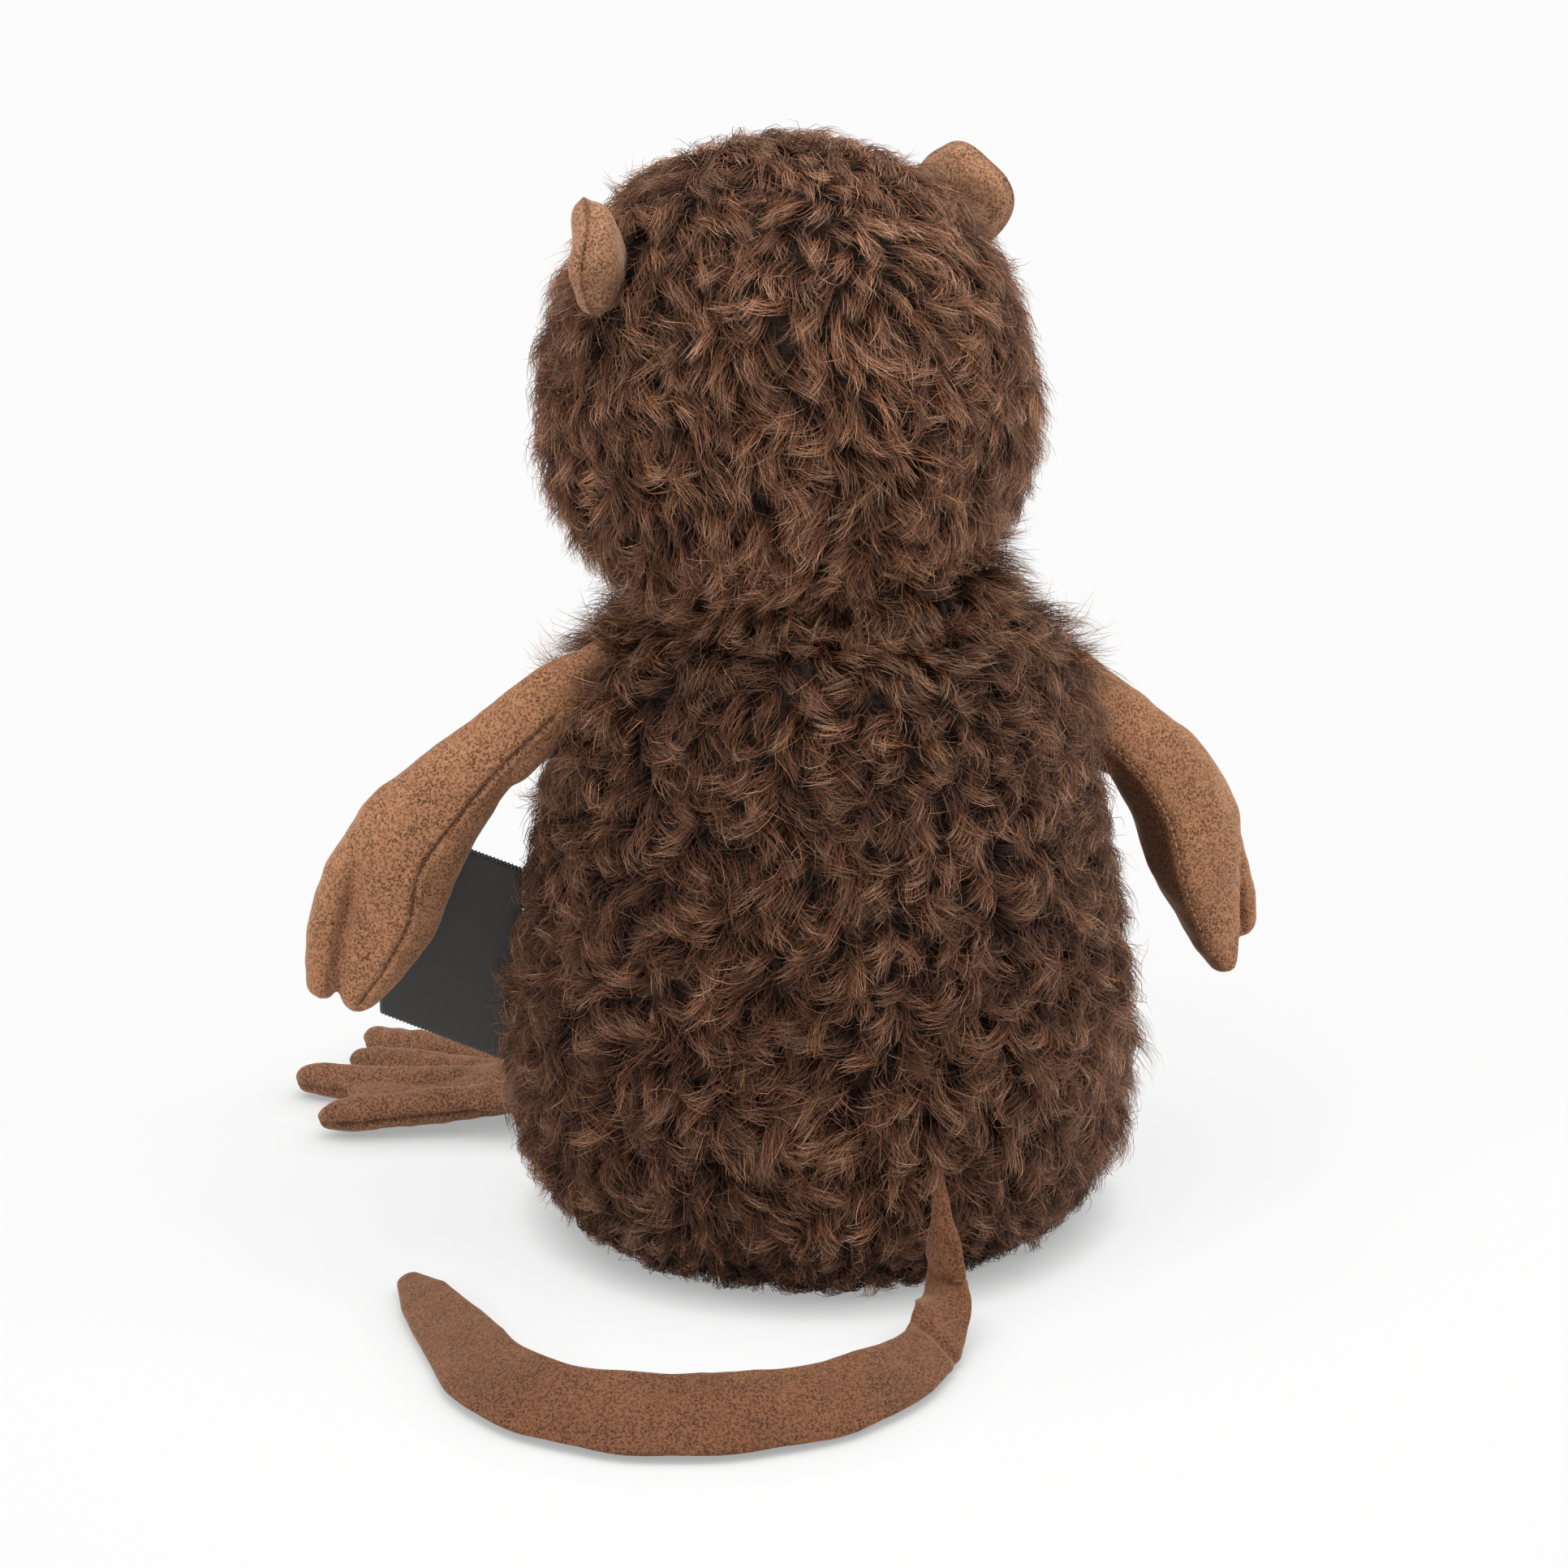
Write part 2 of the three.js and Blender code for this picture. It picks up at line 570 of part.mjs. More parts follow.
// Tail: two long panels that come down from the back, then lie in an arc on the floor on their outer edge
class FloorArc extends THREE.Curve {
  constructor(centre) {
    super();
    this.centre = centre;
  }

  getPoint(share, target = new THREE.Vector3()) {
    const turn = degToRad(TAIL_ARC_START) * (1 - share);
    return target.set(TAIL_ARC_WIDE * Math.cos(turn), TAIL_ARC_DEEP * Math.sin(turn), 0).add(this.centre);
  }
}

function addTail() {
  const { point, way } = onBody(TAIL_PLACE, TAIL_ROOT_HEIGHT);
  const place = point.addScaledVector(way, TAIL_ROOT_RADIUS + GAP - PIT_DEPTH);
  const tail = addGroup(toy, "tail", place);
  const arc = new FloorArc(TAIL_ARC_CENTRE.clone().sub(place));
  const landing = arc.getPoint(0);
  const approach = landing.clone().addScaledVector(arc.getTangentAt(0), -TAIL_LEAD);
  const end = arc.getPoint(1);
  const line = new THREE.CurvePath();
  line.add(new THREE.CubicBezierCurve3(new THREE.Vector3(), TAIL_HANG, approach, landing));
  line.add(arc);
  line.add(new THREE.LineCurve3(end, end.clone().addScaledVector(arc.getTangentAt(1), TAIL_STRAIGHT)));
  const length = line.getLength();
  const onFloor = line.curves[0].getLength() / length;
  const settled = (share) => smoothstep(share, 0, onFloor);
  const widths = through(
    [0, TAIL_ROOT_WIDTH / 2],
    [onFloor, TAIL_NARROW_WIDTH / 2],
    [TAIL_WIDEST_AT, TAIL_WIDTH / 2],
    [TAIL_LATE_AT, TAIL_LATE_WIDTH / 2],
    [TAIL_TIP_AT, TAIL_TIP_WIDTH / 2],
  );
  const halfWidth = (share) => {
    const tip = opened((1 - share) * length, TAIL_TIP_WIDTH / 2);
    return widths(share) * Math.max(TAIL_BLUNT, tip);
  };
  const lean = (share) => degToRad(TAIL_LEAN) * settled(share);

  // The middle line rides above the floor by what the lean lifts it
  class LiftedLine extends THREE.Curve {
    getPoint(share, target = new THREE.Vector3()) {
      const lift = settled(share) * (widths(share) * Math.sin(lean(share)) + TAIL_PANEL + GAP);
      return target.copy(line.getPoint(share)).addScaledVector(UP, lift);
    }
  }
  const lifted = new LiftedLine();
  const wide = (share) => {
    const along = share < onFloor ? arc.getTangentAt(0) : line.getTangentAt(share);
    const outwards = new THREE.Vector3().crossVectors(UP, along).normalize();
    return outwards.multiplyScalar(Math.cos(lean(share))).addScaledVector(UP, -Math.sin(lean(share)));
  };
  const panel = (face) => (share) => {
    const half = halfWidth(share);
    const near = (face * GAP) / 2;
    const far = near + face * TAIL_PANEL;
    const middle = (near + far) / 2;
    const shoulder = PANEL_SHOULDER * half;
    const rim = PANEL_RIM * half;
    const inner = [[-half, near], [half, near]];
    const outer = [[rim, middle], [shoulder, far], [-shoulder, far], [-rim, middle]];
    const section = [...inner, ...outer];
    return face > 0 ? section : section.reverse();
  };
  const rootPin = (grow) => solid(pin(TAIL_ROOT_RADIUS + grow, TAIL_ROOT_WIDTH + 2 * grow, UP));
  const strip = (face) => {
    const sheet = solid(swept(lifted, 34, wide, panel(face), { mirrored: face < 0 }));
    return clearOf(bodyForm, sheet, tail, UP, TAIL_SWUNG);
  };
  addPiece(tail, "tail_upper_panel", strip(1).add(rootPin(0)), SUEDE_CLOTH);
  addPiece(tail, "tail_under_panel", strip(-1).subtract(rootPin(GAP)), SUEDE_CLOTH);
  bodyCuts.push(carried(tail, pin(TAIL_ROOT_RADIUS + GAP, TAIL_ROOT_WIDTH + 4 * GAP, UP)));
}
addTail();

// Label: a ribbon folded double and sewn into the left side seam by its two ends
function addLabel() {
  const { point, way } = onBody(-LABEL_PLACE, LABEL_BOTTOM + LABEL_HEIGHT / 2);
  const place = point.addScaledVector(way, LABEL_ROOT_RADIUS + GAP - LABEL_PIT_DEPTH);
  const label = addGroup(toy, "label", place);
  label.rotation.z = -degToRad(LABEL_PLACE);
  const half = (3 * RIBBON) / 2;
  const straight = LABEL_LENGTH - half;
  const fold = new THREE.Shape();
  fold.moveTo(0, -half);
  fold.lineTo(straight, -half);
  fold.absarc(straight, 0, half, -Math.PI / 2, Math.PI / 2, false);
  fold.lineTo(0, half);
  fold.lineTo(0, half - RIBBON);
  fold.lineTo(straight, half - RIBBON);
  fold.absarc(straight, 0, half - RIBBON, Math.PI / 2, -Math.PI / 2, true);
  fold.lineTo(0, RIBBON - half);
  const slant = new THREE.Matrix4().makeShear(0, Math.tan(degToRad(LABEL_RISE)), 0, 0, 0, 0);
  const upright = { depth: LABEL_HEIGHT, bevelEnabled: false, curveSegments: 6 };
  const ribbon = new THREE.ExtrudeGeometry(fold, upright);
  ribbon.translate(0, 0, -LABEL_HEIGHT / 2).applyMatrix4(slant);
  const seamRoll = pin(LABEL_ROOT_RADIUS, LABEL_HEIGHT, UP, 12);
  addPiece(label, "label_ribbon", solid(ribbon).add(solid(seamRoll)), SATIN);
  bodyCuts.push(carried(label, pin(LABEL_ROOT_RADIUS + GAP, LABEL_HEIGHT + 4 * GAP, UP, 12)));
}
addLabel();

// Ear: two round cupped panels sewn together, with a straight root across the side of the head
function addEar(sideName, side) {
  const { point, way } = onHead(side > 0 ? 0 : 180, EAR_BASE_HEIGHT);
  const place = point.addScaledVector(way, EAR_ROOT_RADIUS + GAP - EAR_PIT_DEPTH);
  const ear = addGroup(head, `ear_${sideName}`, place);
  const uphill = UP.clone().projectOnPlane(way).normalize();
  const slant = degToRad(EAR_SLANT);
  const seam = new THREE.Vector3(0, Math.cos(slant), 0).addScaledVector(uphill, -Math.sin(slant));
  const alongRoot = seam.multiplyScalar(side);
  const backwards = new THREE.Vector3().crossVectors(way, alongRoot);
  ear.quaternion.setFromRotationMatrix(new THREE.Matrix4().makeBasis(alongRoot, backwards, way));
  const hinge = new THREE.Vector3(1, 0, 0);
  const panel = (low, high, crownFirst) => {
    const flat = crownFirst ? high : low;
    const crown = crownFirst ? low : high;
    const face = [[0, flat], [PANEL_SHOULDER, flat], [1, flat]];
    const shell = [[PANEL_RIM, (low + high) / 2], [PANEL_SHOULDER, crown], [0, crown]];
    const points = outlinePoints([...face, ...shell]);
    if (crownFirst) points.reverse();
    const disc = new THREE.LatheGeometry(points, 16).scale(EAR_WIDTH / 2, 1, EAR_ROUND / 2);
    disc.translate(0, 0, EAR_HEIGHT - EAR_ROUND / 2);
    const spots = disc.getAttribute("position");
    for (let i = 0; i < spots.count; i++) {
      const bend = EAR_CUP * (spots.getX(i) / (EAR_WIDTH / 2)) ** 2;
      spots.setY(i, spots.getY(i) - bend);
    }
    const aboveRoot = new THREE.BoxGeometry(2 * EAR_WIDTH, 2 * EAR_WIDTH, EAR_ROUND);
    const upright = solid(disc).intersect(solid(aboveRoot.translate(0, 0, EAR_ROUND / 2)));
    return clearOf(headForm, upright.rotate([-EAR_LEAN, 0, 0]), ear, hinge, EAR_FOLDED);
  };
  const rootPin = (grow) => solid(pin(EAR_ROOT_RADIUS + grow, EAR_ROOT_LENGTH + 2 * grow, hinge, 14));
  const back = panel(GAP / 2, GAP / 2 + EAR_PANEL, false).add(rootPin(0));
  const front = panel(-GAP / 2 - EAR_PANEL, -GAP / 2, true).subtract(rootPin(GAP));
  addPiece(ear, `ear_${sideName}_back`, back, SUEDE_CLOTH);
  addPiece(ear, `ear_${sideName}_front`, front, SUEDE_CLOTH);
  headCuts.push(carried(ear, pin(EAR_ROOT_RADIUS + GAP, EAR_ROOT_LENGTH + 4 * GAP, hinge, 14)));
}
addEar("left", 1);
addEar("right", -1);

// Safety eye: a dome with a shank through the cloth, locked by a washer inside
function addEye(sideName, side) {
  const { point, way } = onHead(-90 + side * EYE_HEADING, EYE_HEIGHT);
  const eye = addGroup(head, `eye_${sideName}_place`, point);
  eye.quaternion.setFromUnitVectors(UP, way);
  const shankEnd = -EYE_SINK - EYE_SHANK_LENGTH;
  const dome = new THREE.Path();
  dome.moveTo(0, shankEnd);
  dome.lineTo(EYE_SHANK_RADIUS, shankEnd);
  dome.lineTo(EYE_SHANK_RADIUS, -EYE_SINK);
  dome.lineTo(EYE_RADIUS, -EYE_SINK);
  dome.absellipse(0, -EYE_SINK, EYE_RADIUS, EYE_DOME, 0, Math.PI / 2, false);
  const points = dome.getPoints(2);
  points[points.length - 1].x = 0;
  addPiece(eye, `eye_${sideName}`, solid(turned(points, 16)), EYE_PLASTIC);
  const washerTop = -PILE - WASHER_PLAY;
  const washerLow = washerTop - WASHER_THICKNESS;
  const bore = EYE_SHANK_RADIUS + GAP;
  const outerEdge = [[WASHER_RADIUS, washerLow], [WASHER_RADIUS, washerTop]];
  const ring = [[bore, washerLow], ...outerEdge, [bore, washerTop], [bore, washerLow]];
  const washer = turned(outlinePoints(ring), 16);
  addPiece(eye, `eye_washer_${sideName}`, solid(washer), WASHER_PLASTIC);

  const room = (radius, low, high) => {
    const drum = pin(radius + GAP, high - low + 2 * GAP, UP, 16).translate(0, 0, (low + high) / 2);
    return carried(eye, drum);
  };
  const shankRoom = room(EYE_SHANK_RADIUS, shankEnd, 0);
  const washerRoom = room(WASHER_RADIUS, washerLow, washerTop);
  headCuts.push(shankRoom, washerRoom, room(EYE_RADIUS, -EYE_SINK, EYE_DOME));
  headFillingCuts.push(shankRoom, washerRoom);
}
addEye("left", 1);
addEye("right", -1);

// Muzzle, nose and incisors, each cut to sit on the form behind it
function addMuzzle() {
  const middle = new THREE.Vector3(0, -HEAD_FORWARD - HEAD_DEPTH / 2, MUZZLE_HEIGHT);
  const muzzleForm = (grow) =>
    solid(egg(MUZZLE_WIDTH + 2 * grow, MUZZLE_LENGTH + 2 * grow, MUZZLE_DEPTH + 2 * grow, middle));
  addPiece(head, "muzzle", muzzleForm(0).subtract(solid(headForm(-GAP))), SUEDE_CLOTH);

  const rise = degToRad(NOSE_RISE);
  const nosePlace = new THREE.Vector3(0, -Math.cos(rise) * MUZZLE_LENGTH, Math.sin(rise) * MUZZLE_DEPTH);
  const nose = solid(egg(NOSE_WIDTH, NOSE_DEPTH, NOSE_DEPTH, nosePlace.multiplyScalar(0.5).add(middle)));
  addPiece(head, "nose", nose.subtract(muzzleForm(GAP)), NOSE_CLOTH);

  const teeth = new THREE.Shape();
  const slit = INCISOR_SLIT / 2;
  const outer = slit + INCISOR_WIDTH;
  const corner = INCISOR_WIDTH / 4;
  const top = MUZZLE_DEPTH / 4;
  teeth.moveTo(-outer, top);
  for (const [left, right] of [[-outer, -slit], [slit, outer]]) {
    teeth.lineTo(left, corner - INCISOR_LENGTH);
    teeth.quadraticCurveTo(left, -INCISOR_LENGTH, left + corner, -INCISOR_LENGTH);
    teeth.lineTo(right - corner, -INCISOR_LENGTH);
    teeth.quadraticCurveTo(right, -INCISOR_LENGTH, right, corner - INCISOR_LENGTH);
    teeth.lineTo(right, right < 0 ? -INCISOR_LENGTH / 2 : top);
    if (right < 0) teeth.lineTo(slit, -INCISOR_LENGTH / 2);
  }
  const plate = new THREE.ExtrudeGeometry(teeth, { depth: FELT, bevelEnabled: false, curveSegments: 3 });
  const front = middle.y - MUZZLE_LENGTH / 2;
  plate.rotateX(Math.PI / 2).translate(0, front + INCISOR_BACK, middle.z - MUZZLE_DEPTH / 3);
  addPiece(head, "incisors", solid(plate).subtract(muzzleForm(GAP)), FELT_CLOTH);
}
addMuzzle();

// Neck wad: a ball of filling that body and head turn on; the facets of its rooms clear it at every turn
function ball(radius, place) {
  const round = new THREE.SphereGeometry(radius, WAD_FACETS, WAD_ROWS).rotateX(Math.PI / 2);
  return solid(round.translate(place.x, place.y, place.z));
}
const wadRoomInBody = (NECK_WAD_RADIUS + GAP) / Math.cos(Math.PI / WAD_FACETS);
const wadRoomInHead = wadRoomInBody / Math.cos(Math.PI / (2 * WAD_ROWS));
addPiece(toy, "neck_wad", ball(NECK_WAD_RADIUS, neckPlace), FIBRE);

// Head: skin and filling
function addHead() {
  const room = ball(wadRoomInHead, new THREE.Vector3());
  const inside = (inset) =>
    solid(turned(headOutline(inset, 4), INNER_FACETS, HEAD_SQUEEZE).translate(0, -HEAD_FORWARD, 0));
  let skin = solid(headForm(0)).subtract(inside(PILE)).subtract(room);
  for (const cut of headCuts) skin = skin.subtract(cut);
  let filling = inside(PILE + GAP).subtract(room);
  for (const cut of headFillingCuts) filling = filling.subtract(cut);
  addPiece(head, "head_skin", skin, PLUSH);
  addPiece(head, "head_filling", filling, FIBRE);
}
addHead();

// Pellet pouch on the base panel, with its pellets
const pouchFloor = BASE_THICKNESS + GAP;
function pouchForm(inset) {
  const half = POUCH_HEIGHT / 2;
  const outline = new THREE.Path();
  outline.moveTo(0, pouchFloor + inset);
  outline.lineTo(POUCH_RADIUS - half, pouchFloor + inset);
  outline.absarc(POUCH_RADIUS - half, pouchFloor + half, half - inset, -Math.PI / 2, Math.PI / 2, false);
  outline.lineTo(0, pouchFloor + POUCH_HEIGHT - inset);
  return solid(turned(outline.getPoints(3), INNER_FACETS));
}

function addPouch() {
  const spout = pin(POUCH_SPOUT_RADIUS, POUCH_HEIGHT, UP, 12).translate(0, 0, pouchFloor + POUCH_HEIGHT);
  const pouch = pouchForm(0).subtract(pouchForm(POUCH_CLOTH)).subtract(solid(spout));
  addPiece(toy, "pellet_pouch", pouch, POUCH_WEAVE);
  addPiece(toy, "pellets", pouchForm(POUCH_CLOTH + GAP), PELLETS);
}
addPouch();

// Body: skin, base panel and filling
function addBody() {
  const room = ball(wadRoomInBody, neckPlace);
  const inside = (inset, bottom) =>
    solid(turned(bodyOutline(inset, bottom, 3), INNER_FACETS, BODY_SQUEEZE));
  let skin = solid(bodyForm(0)).subtract(inside(PILE, -1)).subtract(room);
  for (const cut of bodyCuts) skin = skin.subtract(cut);
  const baseEdge = BASE_RADIUS - PILE - GAP;
  const disc = [[0, 0], [baseEdge, 0], [baseEdge, BASE_THICKNESS], [0, BASE_THICKNESS]];
  const base = turned(outlinePoints(disc), INNER_FACETS, BODY_SQUEEZE);
  const filling = inside(PILE + GAP, BASE_THICKNESS + GAP).subtract(room).subtract(pouchForm(-GAP));
  addPiece(toy, "body_skin", skin, PLUSH);
  addPiece(toy, "base_panel", solid(base), BASE_CLOTH);
  addPiece(toy, "body_filling", filling, FIBRE);
}
addBody();

export default toy;
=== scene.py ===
import math

import bpy
import numpy as np
from mathutils import Matrix, Vector


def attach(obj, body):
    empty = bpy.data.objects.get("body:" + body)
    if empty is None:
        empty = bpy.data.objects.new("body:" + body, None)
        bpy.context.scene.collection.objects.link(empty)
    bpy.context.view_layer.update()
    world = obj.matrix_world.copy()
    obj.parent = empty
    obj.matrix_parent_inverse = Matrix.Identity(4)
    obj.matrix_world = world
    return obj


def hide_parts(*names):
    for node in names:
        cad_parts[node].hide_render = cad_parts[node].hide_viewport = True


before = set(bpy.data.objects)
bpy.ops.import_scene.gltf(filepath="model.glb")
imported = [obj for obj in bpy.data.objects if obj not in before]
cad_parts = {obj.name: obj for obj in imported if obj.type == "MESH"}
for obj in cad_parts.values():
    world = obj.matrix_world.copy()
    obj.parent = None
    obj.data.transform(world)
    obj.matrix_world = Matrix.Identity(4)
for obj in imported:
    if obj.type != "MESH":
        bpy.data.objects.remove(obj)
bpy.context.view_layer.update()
MM = 0.001

# Camera
# It stands behind the toy, a little to the toy's left and above its shoulders, and looks
# at the middle of the toy through a long lens.
view_azimuth = math.radians(159)
view_elevation = math.radians(18)
view_distance = 1000 * MM
view_target = Vector((8.9, 0, 100)) * MM
view_back = Vector((
    math.sin(view_azimuth) * math.cos(view_elevation),
    -math.cos(view_azimuth) * math.cos(view_elevation),
    math.sin(view_elevation),
))
camera_data = bpy.data.cameras.new("camera")
camera_data.lens = 105
camera_data.sensor_width = 36
camera = bpy.data.objects.new("camera", camera_data)
camera.location = view_target + view_back * view_distance
camera.rotation_euler = view_back.to_track_quat("Z", "Y").to_euler()
bpy.context.collection.objects.link(camera)
scene = bpy.context.scene
scene.camera = camera
scene.view_settings.view_transform = "Standard"

# Floor and studio light
# A pale seamless floor that keeps a soft shadow, under a broad lamp overhead and one lamp
# on each side. The floor shows near white to the camera and bounces plain light.
BACKDROP_GLOW = 0.97
STUDIO_LIGHT = 0.42
FLOOR_REACH = 6
FLOOR_DROP = 0.0004
FLOOR_SHADE_DISTANCE = 0.013
FLOOR_FADE_START = 0.14
FLOOR_FADE_END = 0.36


def feed(tree, node, inputs):
    """Give each input of a node its value, or the output of another node that it comes from."""
    for name, value in inputs.items():
        if isinstance(value, bpy.types.NodeSocket):
            tree.links.new(value, node.inputs[name])
        else:
            node.inputs[name].default_value = value


def add_node(tree, kind, inputs, **settings):
    node = tree.nodes.new("ShaderNode" + kind)
    for name, value in settings.items():
        setattr(node, name, value)
    feed(tree, node, inputs)
    return node


def new_material(name, inputs):
    """A material, its node tree and its surface shader, which has those inputs."""
    material = bpy.data.materials.new(name)
    material.use_nodes = True
    shader = material.node_tree.nodes["Principled BSDF"]
    feed(material.node_tree, shader, inputs)
    return material, material.node_tree, shader


def add_lamp(name, place, size, power):
    """A round lamp that shines at the middle of the toy."""
    lamp_data = bpy.data.lights.new(name, "AREA")
    lamp_data.shape = "DISK"
    lamp_data.size = size
    lamp_data.energy = power
    lamp = bpy.data.objects.new(name, lamp_data)
    lamp.location = place
    lamp.rotation_euler = (Vector(place) - Vector((0, 0, 0.1))).to_track_quat("Z", "Y").to_euler()
    bpy.context.collection.objects.link(lamp)


add_lamp("lamp_above", (0.05, 0.1, 1.3), 1.1, 13)
add_lamp("lamp_left", (1.2, 0.55, 0.75), 0.8, 7.5)
add_lamp("lamp_right", (-1.15, 0.65, 0.75), 0.8, 7.5)

world = bpy.data.worlds.new("studio")
world.use_nodes = True
scene.world = world
world_tree = world.node_tree
world_light = world_tree.nodes["Background"]
feed(world_tree, world_light, {"Color": (1, 0.99, 0.98, 1), "Strength": STUDIO_LIGHT})
world_seen = add_node(world_tree, "Background", {"Color": (1, 1, 1, 1), "Strength": BACKDROP_GLOW})
world_path = add_node(world_tree, "LightPath", {})
world_sight = add_node(world_tree, "Math", {
    0: world_path.outputs["Is Camera Ray"], 1: world_path.outputs["Is Glossy Ray"],
}, operation="MAXIMUM")
world_look = add_node(world_tree, "MixShader", {
    "Fac": world_sight.outputs[0], 1: world_light.outputs[0], 2: world_seen.outputs[0],
})
feed(world_tree, world_tree.nodes["World Output"], {"Surface": world_look.outputs[0]})

floor_mesh = bpy.data.meshes.new("floor")
floor_corners = [(-FLOOR_REACH, -FLOOR_REACH, 0), (FLOOR_REACH, -FLOOR_REACH, 0),
                 (FLOOR_REACH, FLOOR_REACH, 0), (-FLOOR_REACH, FLOOR_REACH, 0)]
floor_mesh.from_pydata(floor_corners, [], [(0, 1, 2, 3)])
floor = bpy.data.objects.new("floor", floor_mesh)
floor.location.z = -FLOOR_DROP
bpy.context.collection.objects.link(floor)
floor_paint, floor_tree, floor_plain = new_material(
    "floor_paint", {"Base Color": (0.86, 0.86, 0.86, 1), "Roughness": 1})
floor_shaded = add_node(floor_tree, "BsdfDiffuse", {"Color": (0.16, 0.16, 0.16, 1)})
# Close under the toy the floor's glow is dimmed where the spot is covered, a painted contact shadow.
floor_covered = add_node(floor_tree, "AmbientOcclusion", {"Distance": FLOOR_SHADE_DISTANCE})
floor_dim = add_node(floor_tree, "MapRange", {
    "Value": floor_covered.outputs["AO"], "From Min": 0.2, "To Min": 0.36, "To Max": 0.77,
})
floor_glow = add_node(floor_tree, "Emission", {"Strength": floor_dim.outputs["Result"]})
floor_near = add_node(floor_tree, "AddShader", {0: floor_shaded.outputs[0], 1: floor_glow.outputs[0]})
floor_far = add_node(floor_tree, "Emission", {"Strength": BACKDROP_GLOW})
floor_place = add_node(floor_tree, "NewGeometry", {})
floor_away = add_node(floor_tree, "VectorMath", {0: floor_place.outputs["Position"]}, operation="LENGTH")
floor_fade = add_node(floor_tree, "MapRange", {
    "Value": floor_away.outputs["Value"], "From Min": FLOOR_FADE_START, "From Max": FLOOR_FADE_END,
}, interpolation_type="SMOOTHSTEP")
floor_seen = add_node(floor_tree, "MixShader", {
    "Fac": floor_fade.outputs["Result"], 1: floor_near.outputs[0], 2: floor_far.outputs[0],
})
floor_path = add_node(floor_tree, "LightPath", {})
floor_look = add_node(floor_tree, "MixShader", {
    "Fac": floor_path.outputs["Is Camera Ray"], 1: floor_plain.outputs[0], 2: floor_seen.outputs[0],
})
feed(floor_tree, floor_tree.nodes["Material Output"], {"Surface": floor_look.outputs[0]})
floor_mesh.materials.append(floor_paint)

# Body
# A stuffed pear of dark brown cloth with a long curly pile woven into it. The cloth is
# cut in panels and sewn inside out, and the pile hides its seams.
BASE_RADIUS = 46
BELLY_RADIUS = 69.5
BELLY_HEIGHT = 28
BODY_DEPTH = 132
SHOULDER_RADIUS = 51
SHOULDER_HEIGHT = 131
SHOULDER_ROUND = 5
CHEST_BEND = 21
NECK_RIM_RADIUS = 40
NECK_RIM_HEIGHT = 143
NECK_HEIGHT = 146
NECK_WAD_RADIUS = 22
PILE_DEPTH = 5


def bend_through(start, pull_start, pull_end, end, steps):
    share = np.linspace(0, 1, steps)[:, None]
    near = (1 - share) ** 3 * np.array(start) + 3 * (1 - share) ** 2 * share * np.array(pull_start)
    far = 3 * (1 - share) * share**2 * np.array(pull_end) + share**3 * np.array(end)
    return near + far


def body_outline(inset):
    foot = (BASE_RADIUS - inset, 0)
    belly = (BELLY_RADIUS - inset, BELLY_HEIGHT)
    shoulder = (SHOULDER_RADIUS - inset, SHOULDER_HEIGHT)
    rim = (NECK_RIM_RADIUS - inset, NECK_RIM_HEIGHT - inset)
    seat = bend_through(foot, ((BASE_RADIUS + 2 * BELLY_RADIUS) / 3 - inset, 0),
                        (belly[0], BELLY_HEIGHT / 2), belly, 20)
    back = bend_through(belly, (belly[0], (BELLY_HEIGHT + SHOULDER_HEIGHT) / 2),
                        ((belly[0] + shoulder[0]) / 2, SHOULDER_HEIGHT - CHEST_BEND), shoulder, 40)
    top = bend_through(shoulder, (shoulder[0] - SHOULDER_ROUND / 2, (shoulder[1] + rim[1]) / 2),
                       (rim[0] + SHOULDER_ROUND, rim[1]), rim, 12)
    neck = [(NECK_WAD_RADIUS, NECK_HEIGHT - inset)]
    return np.concatenate([seat, back[1:], top[1:], neck])


def make_piece(name, points, faces, material, mirrored=False):
    mesh = bpy.data.meshes.new(name)
    mesh.from_pydata(np.asarray(points) * MM, [], [face[::-1] for face in faces] if mirrored else faces)
    mesh.shade_smooth()
    mesh.materials.append(material)
    piece = bpy.data.objects.new(name, mesh)
    bpy.context.collection.objects.link(piece)
    return piece


def tube_faces(rows, facets):
    """Faces between rows of points that stand in rings, closed at the first and the last ring."""
    faces = []
    for row in range(rows - 1):
        for spot in range(facets):
            low, high = row * facets, (row + 1) * facets
            after = (spot + 1) % facets
            faces.append((low + spot, low + after, high + after, high + spot))
    faces.append(tuple(range(facets))[::-1])
    faces.append(tuple(range((rows - 1) * facets, rows * facets)))
    return faces


def turned_skin(outline, squeeze, facets):
    turns = np.linspace(0, 2 * np.pi, facets, endpoint=False)
    ring = np.stack([np.cos(turns), squeeze * np.sin(turns)], 1)
    points = [(x * radius, y * radius, height) for radius, height in outline for x, y in ring]
    return np.array(points), tube_faces(len(outline), facets)


def unit(vectors):
    return vectors / np.linalg.norm(vectors, axis=-1, keepdims=True)


def turned(ahead, aside, angle):
    """Ways ahead, each turned to its side by an angle."""
    return np.cos(angle)[:, None] * ahead + np.sin(angle)[:, None] * aside


def walked_along(line):
    """How far along a line each of its points is."""
    return np.concatenate([[0], np.cumsum(np.linalg.norm(np.diff(line, axis=0), axis=1))])


ROOT_SCATTER = 0.45  # of the spacing
WAVE_COUNT = 14


